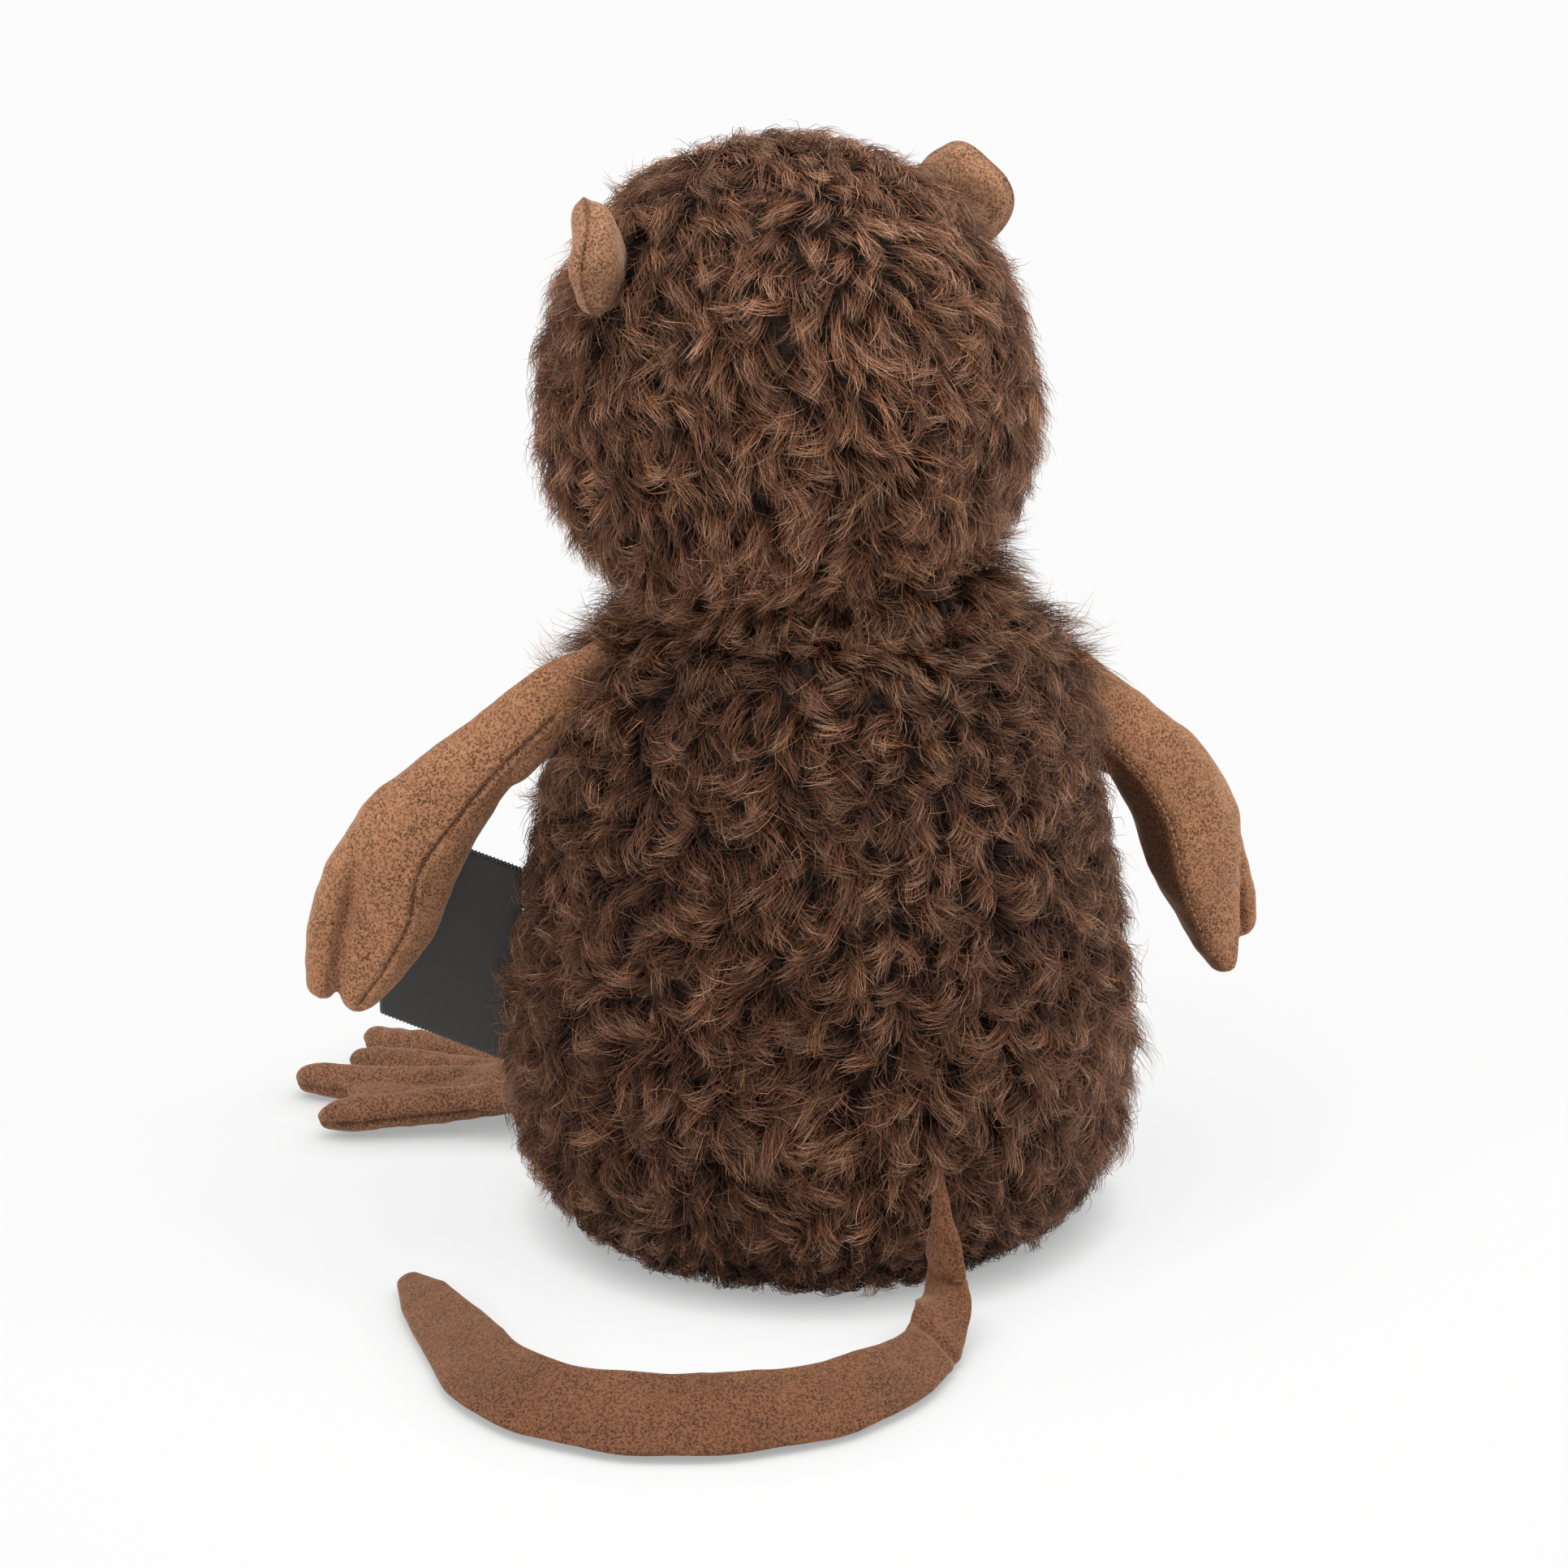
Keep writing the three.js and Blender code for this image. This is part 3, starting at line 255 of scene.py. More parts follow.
def scatter_roots(outline, squeeze, spacing, rng):
    """Lock roots at an even spacing over a turned form, with the way out and the way down at each."""
    steps = unit(np.diff(outline, axis=0))
    walked = walked_along(outline)
    places, ways_out, ways_down = [], [], []
    for row in np.arange(spacing / 2, walked[-1], spacing):
        radius = np.interp(row, walked, outline[:, 0])
        count = max(1, round(2 * np.pi * radius * (1 + squeeze) / 2 / spacing))
        spread = rng.uniform(-ROOT_SCATTER, ROOT_SCATTER, count)
        turns = (np.arange(count) + spread + rng.uniform()) / count * 2 * np.pi
        along = row + rng.uniform(-ROOT_SCATTER, ROOT_SCATTER, count) * spacing
        along = np.clip(along, 0, walked[-1])
        radii = np.interp(along, walked, outline[:, 0])
        heights = np.interp(along, walked, outline[:, 1])
        piece = np.clip(np.searchsorted(walked, along) - 1, 0, len(steps) - 1)
        out_step, up_step = steps[piece].T
        cos, sin = np.cos(turns), np.sin(turns)
        places.append(np.stack([radii * cos, radii * squeeze * sin, heights], 1))
        ways_out.append(unit(np.stack([up_step * cos, up_step * sin / squeeze, -out_step], 1)))
        ways_down.append(unit(-np.stack([out_step * cos, out_step * squeeze * sin, up_step], 1)))
    return np.concatenate(places), np.concatenate(ways_out), np.concatenate(ways_down)


def drift(points, wavelength, rng):
    """A smooth value over space, mostly between -1 and 1, that changes over about a wavelength."""
    waves = unit(rng.normal(size=(WAVE_COUNT, 3))) * rng.uniform(0.7, 1.3, (WAVE_COUNT, 1))
    waves = waves * 2 * np.pi / wavelength
    return np.sin(points @ waves.T + rng.uniform(0, 2 * np.pi, WAVE_COUNT)).sum(1) / 5


def add_drifts(points, sizes, rng):
    """The sum of some smooth values over space, each with a height and a wavelength."""
    return sum(height * drift(points, wavelength, rng) for height, wavelength in sizes)


STRAND_STEPS = 5
TONE_COLUMNS = 64


def comb_strands(roots, out, ahead, length, sweep, start_lift, end_lift):
    """Strand lines: each leaves its root steeply, leans over and sweeps aside on its way to the tip."""
    aside = np.cross(out, ahead)
    share = (np.arange(STRAND_STEPS) + 0.5) / STRAND_STEPS
    heading = sweep[:, None] * (share - 0.25)
    lift = start_lift[:, None] + (end_lift - start_lift)[:, None] * np.minimum(share / 0.8, 1)
    way = (np.sin(lift)[..., None] * out[:, None]
           + (np.cos(lift) * np.cos(heading))[..., None] * ahead[:, None]
           + (np.cos(lift) * np.sin(heading))[..., None] * aside[:, None])
    moved = np.cumsum(way * (length / STRAND_STEPS)[:, None, None], axis=1)
    return np.concatenate([roots[:, None], roots[:, None] + moved], axis=1)


def strand_mesh(name, lines, out, girth, tones, material):
    """Three-sided strands that taper to a point, with a map from root to tip in a column for each tone."""
    count = len(lines)
    along = unit(np.gradient(lines, axis=1)[:, :STRAND_STEPS])
    across = unit(np.cross(along, out[:, None] + 0.01))
    above = np.cross(along, across)
    taper = (1 - np.arange(STRAND_STEPS) / STRAND_STEPS) ** 0.6
    radius = (girth[:, None] * taper)[..., None, None]
    turns = np.arange(3) * 2 * np.pi / 3
    around = np.cos(turns)[:, None] * across[:, :, None] + np.sin(turns)[:, None] * above[:, :, None]
    shell = (lines[:, :STRAND_STEPS, None] + radius * around).reshape(count, STRAND_STEPS * 3, 3)
    points = np.concatenate([shell, lines[:, -1:]], axis=1)
    each = STRAND_STEPS * 3 + 1
    quads, quad_maps = [], []
    for ring in range(STRAND_STEPS - 1):
        low, high = ring / STRAND_STEPS, (ring + 1) / STRAND_STEPS
        for side in range(3):
            after = (side + 1) % 3
            quads.append((3 * ring + side, 3 * ring + after, 3 * ring + 3 + after, 3 * ring + 3 + side))
            left, right = side / 3, (side + 1) / 3
            quad_maps.append(((left, low), (right, low), (right, high), (left, high)))
    tips, tip_maps = [], []
    last = 3 * (STRAND_STEPS - 1)
    low = (STRAND_STEPS - 1) / STRAND_STEPS
    for side in range(3):
        tips.append((last + side, last + (side + 1) % 3, each - 1))
        tip_maps.append(((side / 3, low), ((side + 1) / 3, low), ((side + 0.5) / 3, 1)))
    tips.append((2, 1, 0))
    tip_maps.append(((0, 0), (1, 0), (0.5, 0.02)))
    shift = (np.arange(count) * each)[:, None, None]
    quad_corners = (np.array(quads)[None] + shift).reshape(-1)
    tip_corners = (np.array(tips)[None] + shift).reshape(-1)
    columns = np.floor(np.clip(tones, 0, 0.999) * TONE_COLUMNS)

    def on_map(maps):
        spots = np.array(maps).reshape(-1, 2)
        u = (columns[:, None] + 0.15 + 0.7 * spots[None, :, 0]) / TONE_COLUMNS
        v = np.broadcast_to(spots[None, :, 1], u.shape)
        return np.stack([u, v], -1).reshape(-1, 2)

    mesh = bpy.data.meshes.new(name)
    mesh.vertices.add(count * each)
    mesh.vertices.foreach_set("co", (points * MM).astype(np.float32).ravel())
    mesh.loops.add(len(quad_corners) + len(tip_corners))
    mesh.loops.foreach_set("vertex_index", np.concatenate([quad_corners, tip_corners]).astype(np.int32))
    starts = np.concatenate([np.arange(0, len(quad_corners), 4),
                             len(quad_corners) + np.arange(0, len(tip_corners), 3)])
    mesh.polygons.add(len(starts))
    mesh.polygons.foreach_set("loop_start", starts.astype(np.int32))
    strand_map = mesh.uv_layers.new(name="OFBake")
    mesh.update(calc_edges=True)
    mesh.shade_smooth()
    spots = np.concatenate([on_map(quad_maps), on_map(tip_maps)]).astype(np.float32)
    strand_map.uv.foreach_set("vector", spots.ravel())
    mesh.materials.append(material)
    piece = bpy.data.objects.new(name, mesh)
    bpy.context.collection.objects.link(piece)
    return piece


def tint(red, green, blue):
    """A colour as a picture shows it, 0 to 255, in the linear values that a shader takes."""
    channels = np.array([red, green, blue]) / 255
    linear = np.where(channels <= 0.04045, channels / 12.92, ((channels + 0.055) / 1.055) ** 2.4)
    return (*linear.tolist(), 1)


def add_ramp(tree, value, stops):
    """The colour that a value has on a ramp through some stops."""
    ramp = add_node(tree, "ValToRGB", {"Fac": value})
    while len(ramp.color_ramp.elements) < len(stops):
        ramp.color_ramp.elements.new(0.5)
    for element, (place, colour) in zip(ramp.color_ramp.elements, stops):
        element.position = place
        element.color = colour
    return ramp.outputs["Color"]


def multiply(tree, first, second):
    mix = add_node(tree, "Mix", {"Factor": 1, "A": first, "B": second},
                   data_type="RGBA", blend_type="MULTIPLY")
    return mix.outputs["Result"]


def new_group(name, inputs, outputs):
    """A node group with named inputs and outputs, each of a kind."""
    group = bpy.data.node_groups.new(name, "ShaderNodeTree")
    for in_out, sockets in (("INPUT", inputs), ("OUTPUT", outputs)):
        for socket, kind in sockets.items():
            group.interface.new_socket(socket, in_out=in_out, socket_type="NodeSocket" + kind)
    return group


def add_range(tree, value, low, high, to_low, to_high):
    """A value that goes between two others while that one goes from low to high."""
    remap = add_node(tree, "MapRange", {
        "Value": value, "From Min": low, "From Max": high, "To Min": to_low, "To Max": to_high,
    })
    return remap.outputs["Result"]


# Fine grain: two colours mixed by a noise, over a part of its range
grain = new_group("fine_grain", {"Scale": "Float", "Detail": "Float", "Low": "Float", "High": "Float",
                                 "Dark": "Color", "Light": "Color"}, {"Colour": "Color"})
grain_in = grain.nodes.new("NodeGroupInput").outputs
grain_noise = add_node(grain, "TexNoise", {"Scale": grain_in["Scale"], "Detail": grain_in["Detail"]})
grain_share = add_range(grain, grain_noise.outputs["Fac"], grain_in["Low"], grain_in["High"], 0, 1)
grain_mix = add_node(grain, "Mix", {"Factor": grain_share, "A": grain_in["Dark"], "B": grain_in["Light"]},
                     data_type="RGBA")
feed(grain, grain.nodes.new("NodeGroupOutput"), {"Colour": grain_mix.outputs["Result"]})


def grained(name, inputs, scale, detail, dark, light):
    """A material whose colour goes with a fine noise from dark to light, each at a value of the noise."""
    material, tree, shader = new_material(name, inputs)
    grains = add_node(tree, "Group", {}, node_tree=grain)
    feed(tree, grains, {"Scale": scale, "Detail": detail, "Low": dark[0], "High": light[0],
                        "Dark": dark[1], "Light": light[1]})
    feed(tree, shader, {"Base Color": grains.outputs["Colour"]})
    return material


pile_fibre, pile_tree, pile_shader = new_material(
    "pile_fibre", {"Roughness": 0.42, "Specular IOR Level": 0.3})
pile_map = add_node(pile_tree, "UVMap", {}, uv_map="OFBake")
pile_split = add_node(pile_tree, "SeparateXYZ", {0: pile_map.outputs["UV"]})
pile_length = add_ramp(pile_tree, pile_split.outputs["Y"], [
    (0.0, tint(18, 8, 3)),
    (0.25, tint(54, 28, 15)),
    (0.55, tint(109, 69, 45)),
    (1.0, tint(188, 146, 116)),
])
pile_tone = add_ramp(pile_tree, pile_split.outputs["X"], [
    (0.0, (0.3, 0.27, 0.25, 1)),
    (0.45, (0.85, 0.83, 0.81, 1)),
    (0.8, (1.8, 1.82, 1.84, 1)),
    (1.0, (3, 3.1, 3.2, 1)),
])
pile_column = add_node(pile_tree, "Math", {0: pile_split.outputs["X"], 1: TONE_COLUMNS},
                       operation="MULTIPLY")
pile_whole = add_node(pile_tree, "Math", {0: pile_column.outputs[0]}, operation="FLOOR")
pile_chance = add_node(pile_tree, "TexWhiteNoise", {"W": pile_whole.outputs[0]}, noise_dimensions="1D")
pile_warmth = add_ramp(pile_tree, pile_chance.outputs["Value"], [
    (0.0, (0.94, 1.0, 1.1, 1)),
    (0.6, (1, 1, 1, 1)),
    (1.0, (1.22, 0.96, 0.74, 1)),
])
pile_toned = multiply(pile_tree, pile_length, pile_tone)
feed(pile_tree, pile_shader, {"Base Color": multiply(pile_tree, pile_toned, pile_warmth)})
backing_cloth = grained("backing_cloth", {"Roughness": 0.95}, 400, 2,
                        (0.3, tint(30, 18, 12)), (0.7, tint(60, 39, 27)))

BODY_SQUEEZE = BODY_DEPTH / (2 * BELLY_RADIUS)
BODY_CLOTH_LIFT = 1
body_cloth_outline = body_outline(PILE_DEPTH)
body_points, body_faces = turned_skin(body_cloth_outline, BODY_SQUEEZE, 96)
body_points[:, 2] = np.maximum(body_points[:, 2], BODY_CLOTH_LIFT)
body_cloth = make_piece("body_cloth", body_points, body_faces, backing_cloth)
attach(body_cloth, "torso")
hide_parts("body_skin", "body_filling", "pellet_pouch", "pellets")

LOCK_SPACING = 3.7
LOCK_REACH = 2.6
STRANDS_PER_LOCK = 26
STRAYS_PER_LOCK = 4
LOCK_VEER, STRAY_VEER = 0.1, 0.6
LOCK_TILT, STRAY_TILT = 5, 14
LOCK_CLOSING, STRAY_CLOSING = 0.62, 0.1
LOCK_PHASE, STRAY_PHASE = 0.45, 2
LOCK_WINDINGS = (0.5, 0.9)
CURL_FULL = 0.4  # share of the length where a lock is fully curled
ROOT_LIFT, ROOT_LIFT_SPREAD = 76, 8
STRAND_SHARES = (0.65, 1.1)  # of the length of the lock
STRAND_GIRTHS = (0.065, 0.12)
STRANDS_PER_PIECE = 7000
PATCH_TONE, PATCH_SIZE = 0.07, 25
LOCK_TONE = 0.11
STRAND_TONE = 0.13
PALE_TONE, PALE_SHARE = 0.4, 0.09


def grow_locks(roots, out, ahead, rng, length, sweep, end_lift, curl):
    """Strands of many curled locks: most close up towards the tip of their lock and a few stray from it."""
    count = len(roots)
    which = np.repeat(np.arange(count), STRANDS_PER_LOCK)
    total = len(which)
    stray = np.tile(np.arange(STRANDS_PER_LOCK) < STRAYS_PER_LOCK, count)
    aside = np.cross(out, ahead)
    spread = LOCK_REACH * np.sqrt(rng.uniform(size=total))
    offset = spread[:, None] * turned(ahead[which], aside[which], rng.uniform(0, 2 * np.pi, total))
    veer = rng.normal(0, np.where(stray, STRAY_VEER, LOCK_VEER))
    own_ahead = turned(ahead[which], aside[which], veer)
    own_aside = np.cross(out[which], own_ahead)
    own_length = length[which] * rng.uniform(*STRAND_SHARES, total)
    own_sweep = sweep[which] * rng.uniform(0.85, 1.15, total) + rng.normal(0, 0.12, total)
    start_lift = np.radians(rng.normal(ROOT_LIFT, ROOT_LIFT_SPREAD, total))
    own_lift = np.radians(end_lift[which] + rng.normal(0, np.where(stray, STRAY_TILT, LOCK_TILT)))
    lines = comb_strands(roots[which] + offset, out[which], own_ahead,
                         own_length, own_sweep, start_lift, own_lift)
    share = np.linspace(0, 1, STRAND_STEPS + 1)
    closing = np.where(stray, STRAY_CLOSING, LOCK_CLOSING)[:, None] * share
    lines -= offset[:, None] * closing[..., None]
    winding = 2 * np.pi * (rng.uniform(*LOCK_WINDINGS, count) * rng.choice([-1, 1], count))[which]
    phase = rng.uniform(0, 2 * np.pi, count)[which]
    phase += rng.normal(0, np.where(stray, STRAY_PHASE, LOCK_PHASE))
    angle = phase[:, None] + winding[:, None] * share
    opening = (curl[which] * rng.uniform(0.7, 1.3, total))[:, None] * np.minimum(share / CURL_FULL, 1)
    lines += (opening * np.cos(angle))[..., None] * own_aside[:, None]
    lines += (opening * np.sin(angle))[..., None] * out[which][:, None]
    return lines, which


def add_pile(name, body, roots, out, lines, which, middle, rng):
    """Strands with a tone from 0, dark, to 1, light, in pieces that are slices as seen from above."""
    lock = middle + PATCH_TONE * drift(roots, PATCH_SIZE, rng) + rng.normal(0, LOCK_TONE, len(roots))
    pale = PALE_TONE * (rng.uniform(size=len(which)) < PALE_SHARE)
    tones = lock[which] + rng.normal(0, STRAND_TONE, len(which)) + pale
    girths = rng.uniform(*STRAND_GIRTHS, len(which))
    centre = lines[:, 0, :2].mean(0)
    bearing = np.arctan2(lines[:, 0, 1] - centre[1], lines[:, 0, 0] - centre[0])
    slices = np.array_split(np.argsort(bearing, kind="stable"), math.ceil(len(lines) / STRANDS_PER_PIECE))
    for number, chosen in enumerate(slices, 1):
        piece = strand_mesh(f"{name}_{number}", lines[chosen], out[which[chosen]],
                            girths[chosen], tones[chosen], pile_fibre)
        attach(piece, body)


ARM_PLACE = {"left": np.array([53.186, 0, 129.552]), "right": np.array([-55.364, 0, 124.052])}
SHOULDER_TUFT = 18
SEAT_HEIGHT = 50
SEAT_REACH = 14
TRIM_HEIGHT = 24
FLOOR_CLEARANCE = 0.3
BODY_HEADINGS = ((0.6, 34), (0.7, 12))
BODY_TONE = 0.42
body_rng = np.random.default_rng(11)
body_roots, body_out, body_down = scatter_roots(body_cloth_outline, BODY_SQUEEZE, LOCK_SPACING, body_rng)
body_count = len(body_roots)
body_heading = add_drifts(body_roots, BODY_HEADINGS, body_rng) + body_rng.normal(0, 0.45, body_count)
body_ahead = turned(body_down, np.cross(body_out, body_down), body_heading)
body_sweep = 2.2 * np.tanh(2.5 * drift(body_roots, 10, body_rng)) + body_rng.normal(0, 0.5, body_count)
shoulder_gap = np.min([np.linalg.norm(body_roots - place, axis=1) for place in ARM_PLACE.values()], axis=0)
at_shoulder = np.exp(-((shoulder_gap / SHOULDER_TUFT) ** 2))
at_seat = np.exp(-(((body_roots[:, 2] - SEAT_HEIGHT) / SEAT_REACH) ** 2))
at_collar = np.clip((body_roots[:, 2] - SHOULDER_HEIGHT) / (NECK_RIM_HEIGHT - SHOULDER_HEIGHT), 0, 1)
seat_trim = np.clip(body_roots[:, 2] / TRIM_HEIGHT, 0.55, 1)
body_length = body_rng.uniform(11, 14, body_count) * (1 + 0.75 * at_shoulder + 0.2 * at_seat) * seat_trim
body_lift = body_rng.normal(-30, 20, body_count) + 65 * at_shoulder + 14 * at_seat + 30 * at_collar
body_curl = body_rng.uniform(0.8, 1.6, body_count)
body_lines, body_lock = grow_locks(
    body_roots, body_out, body_ahead, body_rng, body_length, body_sweep, body_lift, body_curl)
body_lines[..., 2] = np.maximum(body_lines[..., 2], FLOOR_CLEARANCE)
add_pile("body_pile", "torso", body_roots, body_out, body_lines, body_lock, BODY_TONE, body_rng)

# Head
# A stuffed ball of the same curly cloth, wider at the cheeks, sewn to the neck. The pile
# here is a little longer and lies straighter, down and away from the crown.
HEAD_HEIGHT = 95.5
HEAD_DEPTH = 107
HEAD_FORWARD = 7
CHEEK_RADIUS = 54.5
CHEEK_HEIGHT = 34
CROWN_RADIUS = 36
NECK_GROOVE = 3
NECK_PLACE = Vector((0, -5, 146))
HEAD_TURN = math.radians(11)
HEAD_ROLL = math.radians(4)
head_spin = Matrix.Rotation(HEAD_TURN, 3, "Z") @ Matrix.Rotation(HEAD_ROLL, 3, "Y")


def head_outline(inset):
    rim = (NECK_RIM_RADIUS - inset, NECK_GROOVE + inset)
    cheek = (CHEEK_RADIUS - inset, CHEEK_HEIGHT)
    crown = (0.01, HEAD_HEIGHT - inset)
    jaw = bend_through(rim, ((NECK_RIM_RADIUS + CHEEK_RADIUS) / 2 - inset, rim[1]),
                       (cheek[0], (rim[1] + CHEEK_HEIGHT) / 2), cheek, 16)
    skull = bend_through(cheek, (cheek[0], (CHEEK_HEIGHT + HEAD_HEIGHT) / 2),
                         (CROWN_RADIUS - inset, crown[1]), crown, 40)
    neck = [(NECK_WAD_RADIUS, inset)]
    return np.concatenate([neck, jaw, skull[1:]])


def from_head(points):
    """Points of the head's own frame in the toy's frame."""
    return np.asarray(points) @ np.array(head_spin).T + np.array(NECK_PLACE)


HEAD_SQUEEZE = HEAD_DEPTH / (2 * CHEEK_RADIUS)
head_shift = np.array([0, -HEAD_FORWARD, 0])
head_cloth_outline = head_outline(PILE_DEPTH)
head_points, head_faces = turned_skin(head_cloth_outline, HEAD_SQUEEZE, 96)
head_cloth = make_piece("head_cloth", from_head(head_points + head_shift), head_faces, backing_cloth)
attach(head_cloth, "head")
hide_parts("head_skin", "head_filling")

MUZZLE_WIDTH = 47
MUZZLE_LENGTH = 50
MUZZLE_DEPTH = 37
MUZZLE_HEIGHT = 28
EYE_HEIGHT = 52
EYE_HEADING = math.radians(36)
muzzle_middle = np.array([0, -HEAD_FORWARD - HEAD_DEPTH / 2, MUZZLE_HEIGHT])
muzzle_half = np.array([MUZZLE_WIDTH, MUZZLE_LENGTH, MUZZLE_DEPTH]) / 2


def on_head(heading, height):
    """The point of the head's outside at a heading and height, and the way out, in the head's frame."""
    outline = head_outline(0)[1:]
    lower, radius, upper = np.interp([height - 1, height, height + 1], outline[:, 1], outline[:, 0])
    cos, sin = math.cos(heading), math.sin(heading)
    point = np.array([radius * cos, radius * HEAD_SQUEEZE * sin, height]) + head_shift
    return point, unit(np.array([cos, sin / HEAD_SQUEEZE, (lower - upper) / 2]))


SIDES = (("left", 1), ("right", -1))
eyes = {name: on_head(-math.pi / 2 + side * EYE_HEADING, EYE_HEIGHT) for name, side in SIDES}
JAW_HEIGHT = 8
JAW_REACH = 10
CROWN_REACH = 24
BARE_ROUND_EYE = 6
SHORT_ROUND_EYE = 17
BARE_ROUND_MUZZLE = 1.05  # of the muzzle's own half sizes
SHORT_ROUND_MUZZLE = 1.7
HEAD_HEADINGS = ((0.9, 48), (0.5, 16))
HEAD_TONE = 0.57
head_rng = np.random.default_rng(23)
head_roots, head_out, head_down = scatter_roots(head_cloth_outline, HEAD_SQUEEZE, LOCK_SPACING, head_rng)
from_axis = np.linalg.norm(head_roots[:, :2], axis=1)
at_crown = np.where(head_roots[:, 2] > CHEEK_HEIGHT, np.exp(-((from_axis / CROWN_REACH) ** 2)), 0)
head_down = head_down + 2.5 * at_crown[:, None] * np.array([0, 1, 0])
head_down = unit(head_down - head_out * (head_down * head_out).sum(1, keepdims=True))
head_roots = head_roots + head_shift
from_muzzle = np.linalg.norm((head_roots - muzzle_middle) / muzzle_half, axis=1)
from_eye = np.min([np.linalg.norm(head_roots - place, axis=1) for place, way in eyes.values()], axis=0)
furry = (from_muzzle > BARE_ROUND_MUZZLE) & (from_eye > BARE_ROUND_EYE)
head_roots, head_out, head_down = head_roots[furry], head_out[furry], head_down[furry]
at_crown = at_crown[furry]
face_trim = np.minimum(np.clip(from_eye[furry] / SHORT_ROUND_EYE, 0.4, 1),
                       np.clip(from_muzzle[furry] / SHORT_ROUND_MUZZLE, 0.5, 1))
head_count = len(head_roots)
head_heading = add_drifts(head_roots, HEAD_HEADINGS, head_rng) + head_rng.normal(0, 0.35, head_count)
head_ahead = turned(head_down, np.cross(head_out, head_down), head_heading)
head_sweep = 1.5 * np.tanh(2.5 * drift(head_roots, 13, head_rng)) + head_rng.normal(0, 0.4, head_count)
head_length = head_rng.uniform(11, 14.5, head_count) * face_trim * (1 - 0.2 * at_crown)
at_jaw = np.exp(-(((head_roots[:, 2] - JAW_HEIGHT) / JAW_REACH) ** 2))
head_lift = head_rng.normal(-18, 16, head_count) + 30 * at_jaw - 18 * at_crown
head_curl = head_rng.uniform(0.5, 1.2, head_count) * face_trim
head_lines, head_lock = grow_locks(
    head_roots, head_out, head_ahead, head_rng, head_length, head_sweep, head_lift, head_curl)
head_outwards = head_out @ np.array(head_spin).T
add_pile("head_pile", "head", head_roots, head_outwards, from_head(head_lines), head_lock,
         HEAD_TONE, head_rng)

# Neck
# A wad of filling between body and head that both turn on, wrapped in the same curly cloth
# where the two are drawn together.
NECK_COVER_RADIUS = 36
NECK_TONE = 0.46
neck_cover_outline = np.array([(18, -12), (29, -9), (35, -4), (NECK_COVER_RADIUS, 0),
                               (35, 5), (29, 10), (18, 13)])
neck_points, neck_faces = turned_skin(neck_cover_outline, BODY_SQUEEZE, 48)
neck_cloth = make_piece("neck_cloth", neck_points + np.array(NECK_PLACE), neck_faces, backing_cloth)
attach(neck_cloth, "neck")
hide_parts("neck_wad")
neck_rng = np.random.default_rng(31)
neck_roots, neck_out, neck_down = scatter_roots(
    neck_cover_outline[1:-1], BODY_SQUEEZE, LOCK_SPACING, neck_rng)
neck_roots = neck_roots + np.array(NECK_PLACE)
neck_count = len(neck_roots)
neck_sweep = neck_rng.normal(0, 1.5, neck_count)
neck_length = neck_rng.uniform(12, 16, neck_count)
neck_lift = neck_rng.normal(45, 14, neck_count)
neck_curl = neck_rng.uniform(0.5, 1.2, neck_count)
neck_lines, neck_lock = grow_locks(
    neck_roots, neck_out, neck_down, neck_rng, neck_length, neck_sweep, neck_lift, neck_curl)
add_pile("neck_pile", "neck", neck_roots, neck_out, neck_lines, neck_lock, NECK_TONE, neck_rng)

# Base panel
# A round of woven cloth that closes the body below, over the pouch of pellets. It is sewn
# in all round, and the toy sits on it.
BASE_PANEL_RADIUS = BASE_RADIUS - PILE_DEPTH
base_outline = np.array([(0.01, 0.9), (BASE_PANEL_RADIUS - 5, 0.5), (BASE_PANEL_RADIUS - 2, 0.2),
                         (BASE_PANEL_RADIUS, 0.7), (BASE_PANEL_RADIUS - 2, 2), (0.01, 2)])
base_weave, base_tree, base_shader = new_material("base_weave", {"Roughness": 0.9})
base_spot = add_node(base_tree, "TexCoord", {})
base_threads = add_node(base_tree, "TexBrick", {
    "Vector": base_spot.outputs["Object"], "Scale": 900,
    "Color1": tint(74, 52, 40), "Color2": tint(60, 42, 32), "Mortar": tint(34, 22, 17),
})
base_bump = add_node(base_tree, "Bump", {"Height": base_threads.outputs["Fac"], "Distance": 0.2 * MM})
feed(base_tree, base_shader, {
    "Base Color": base_threads.outputs["Color"], "Normal": base_bump.outputs["Normal"],
})
base_points, base_faces = turned_skin(base_outline, BODY_SQUEEZE, 64)
base_panel = make_piece("base_panel_cloth", base_points, base_faces, base_weave)
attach(base_panel, "torso")
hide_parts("base_panel")

# Arms
# Two stuffed tubes of flecked tan suede cloth, sewn to the shoulders by a narrow flat end.
# A sewn seam runs from the pit of the arm to the tip of the hand, where one digit stands apart.
ARM_TIP = np.array([51.5, 0, -76.5])
ARM_START_SLOPE = math.radians(41)
ARM_END_SLOPE = math.radians(74)
ARM_START_PULL = 50
ARM_END_PULL = 38
ARM_SWING = {"left": 20, "right": -8}
ARM_LIFT = {"left": 1, "right": -6}
HAND_TWIST = {"left": 0, "right": math.radians(30)}
HAND_AT = 0.62
ARM_ASIDE = {"left": 1.5, "right": -2.8}
ARM_STOPS = [-0.07, 0.1, 0.3, 0.45, 0.6, 0.72, 0.85, 1]
ARM_HALF_WIDE = {"left": [3.6, 6.8, 7.9, 10.4, 12.5, 10.2, 8.3, 3.6],
                 "right": [3.6, 6.8, 8.9, 11.6, 12.8, 9.6, 6.3, 2.6]}
ARM_HALF_THICK = [2.4, 5.2, 6.8, 8.6, 9.6, 8.2, 6, 2.8]
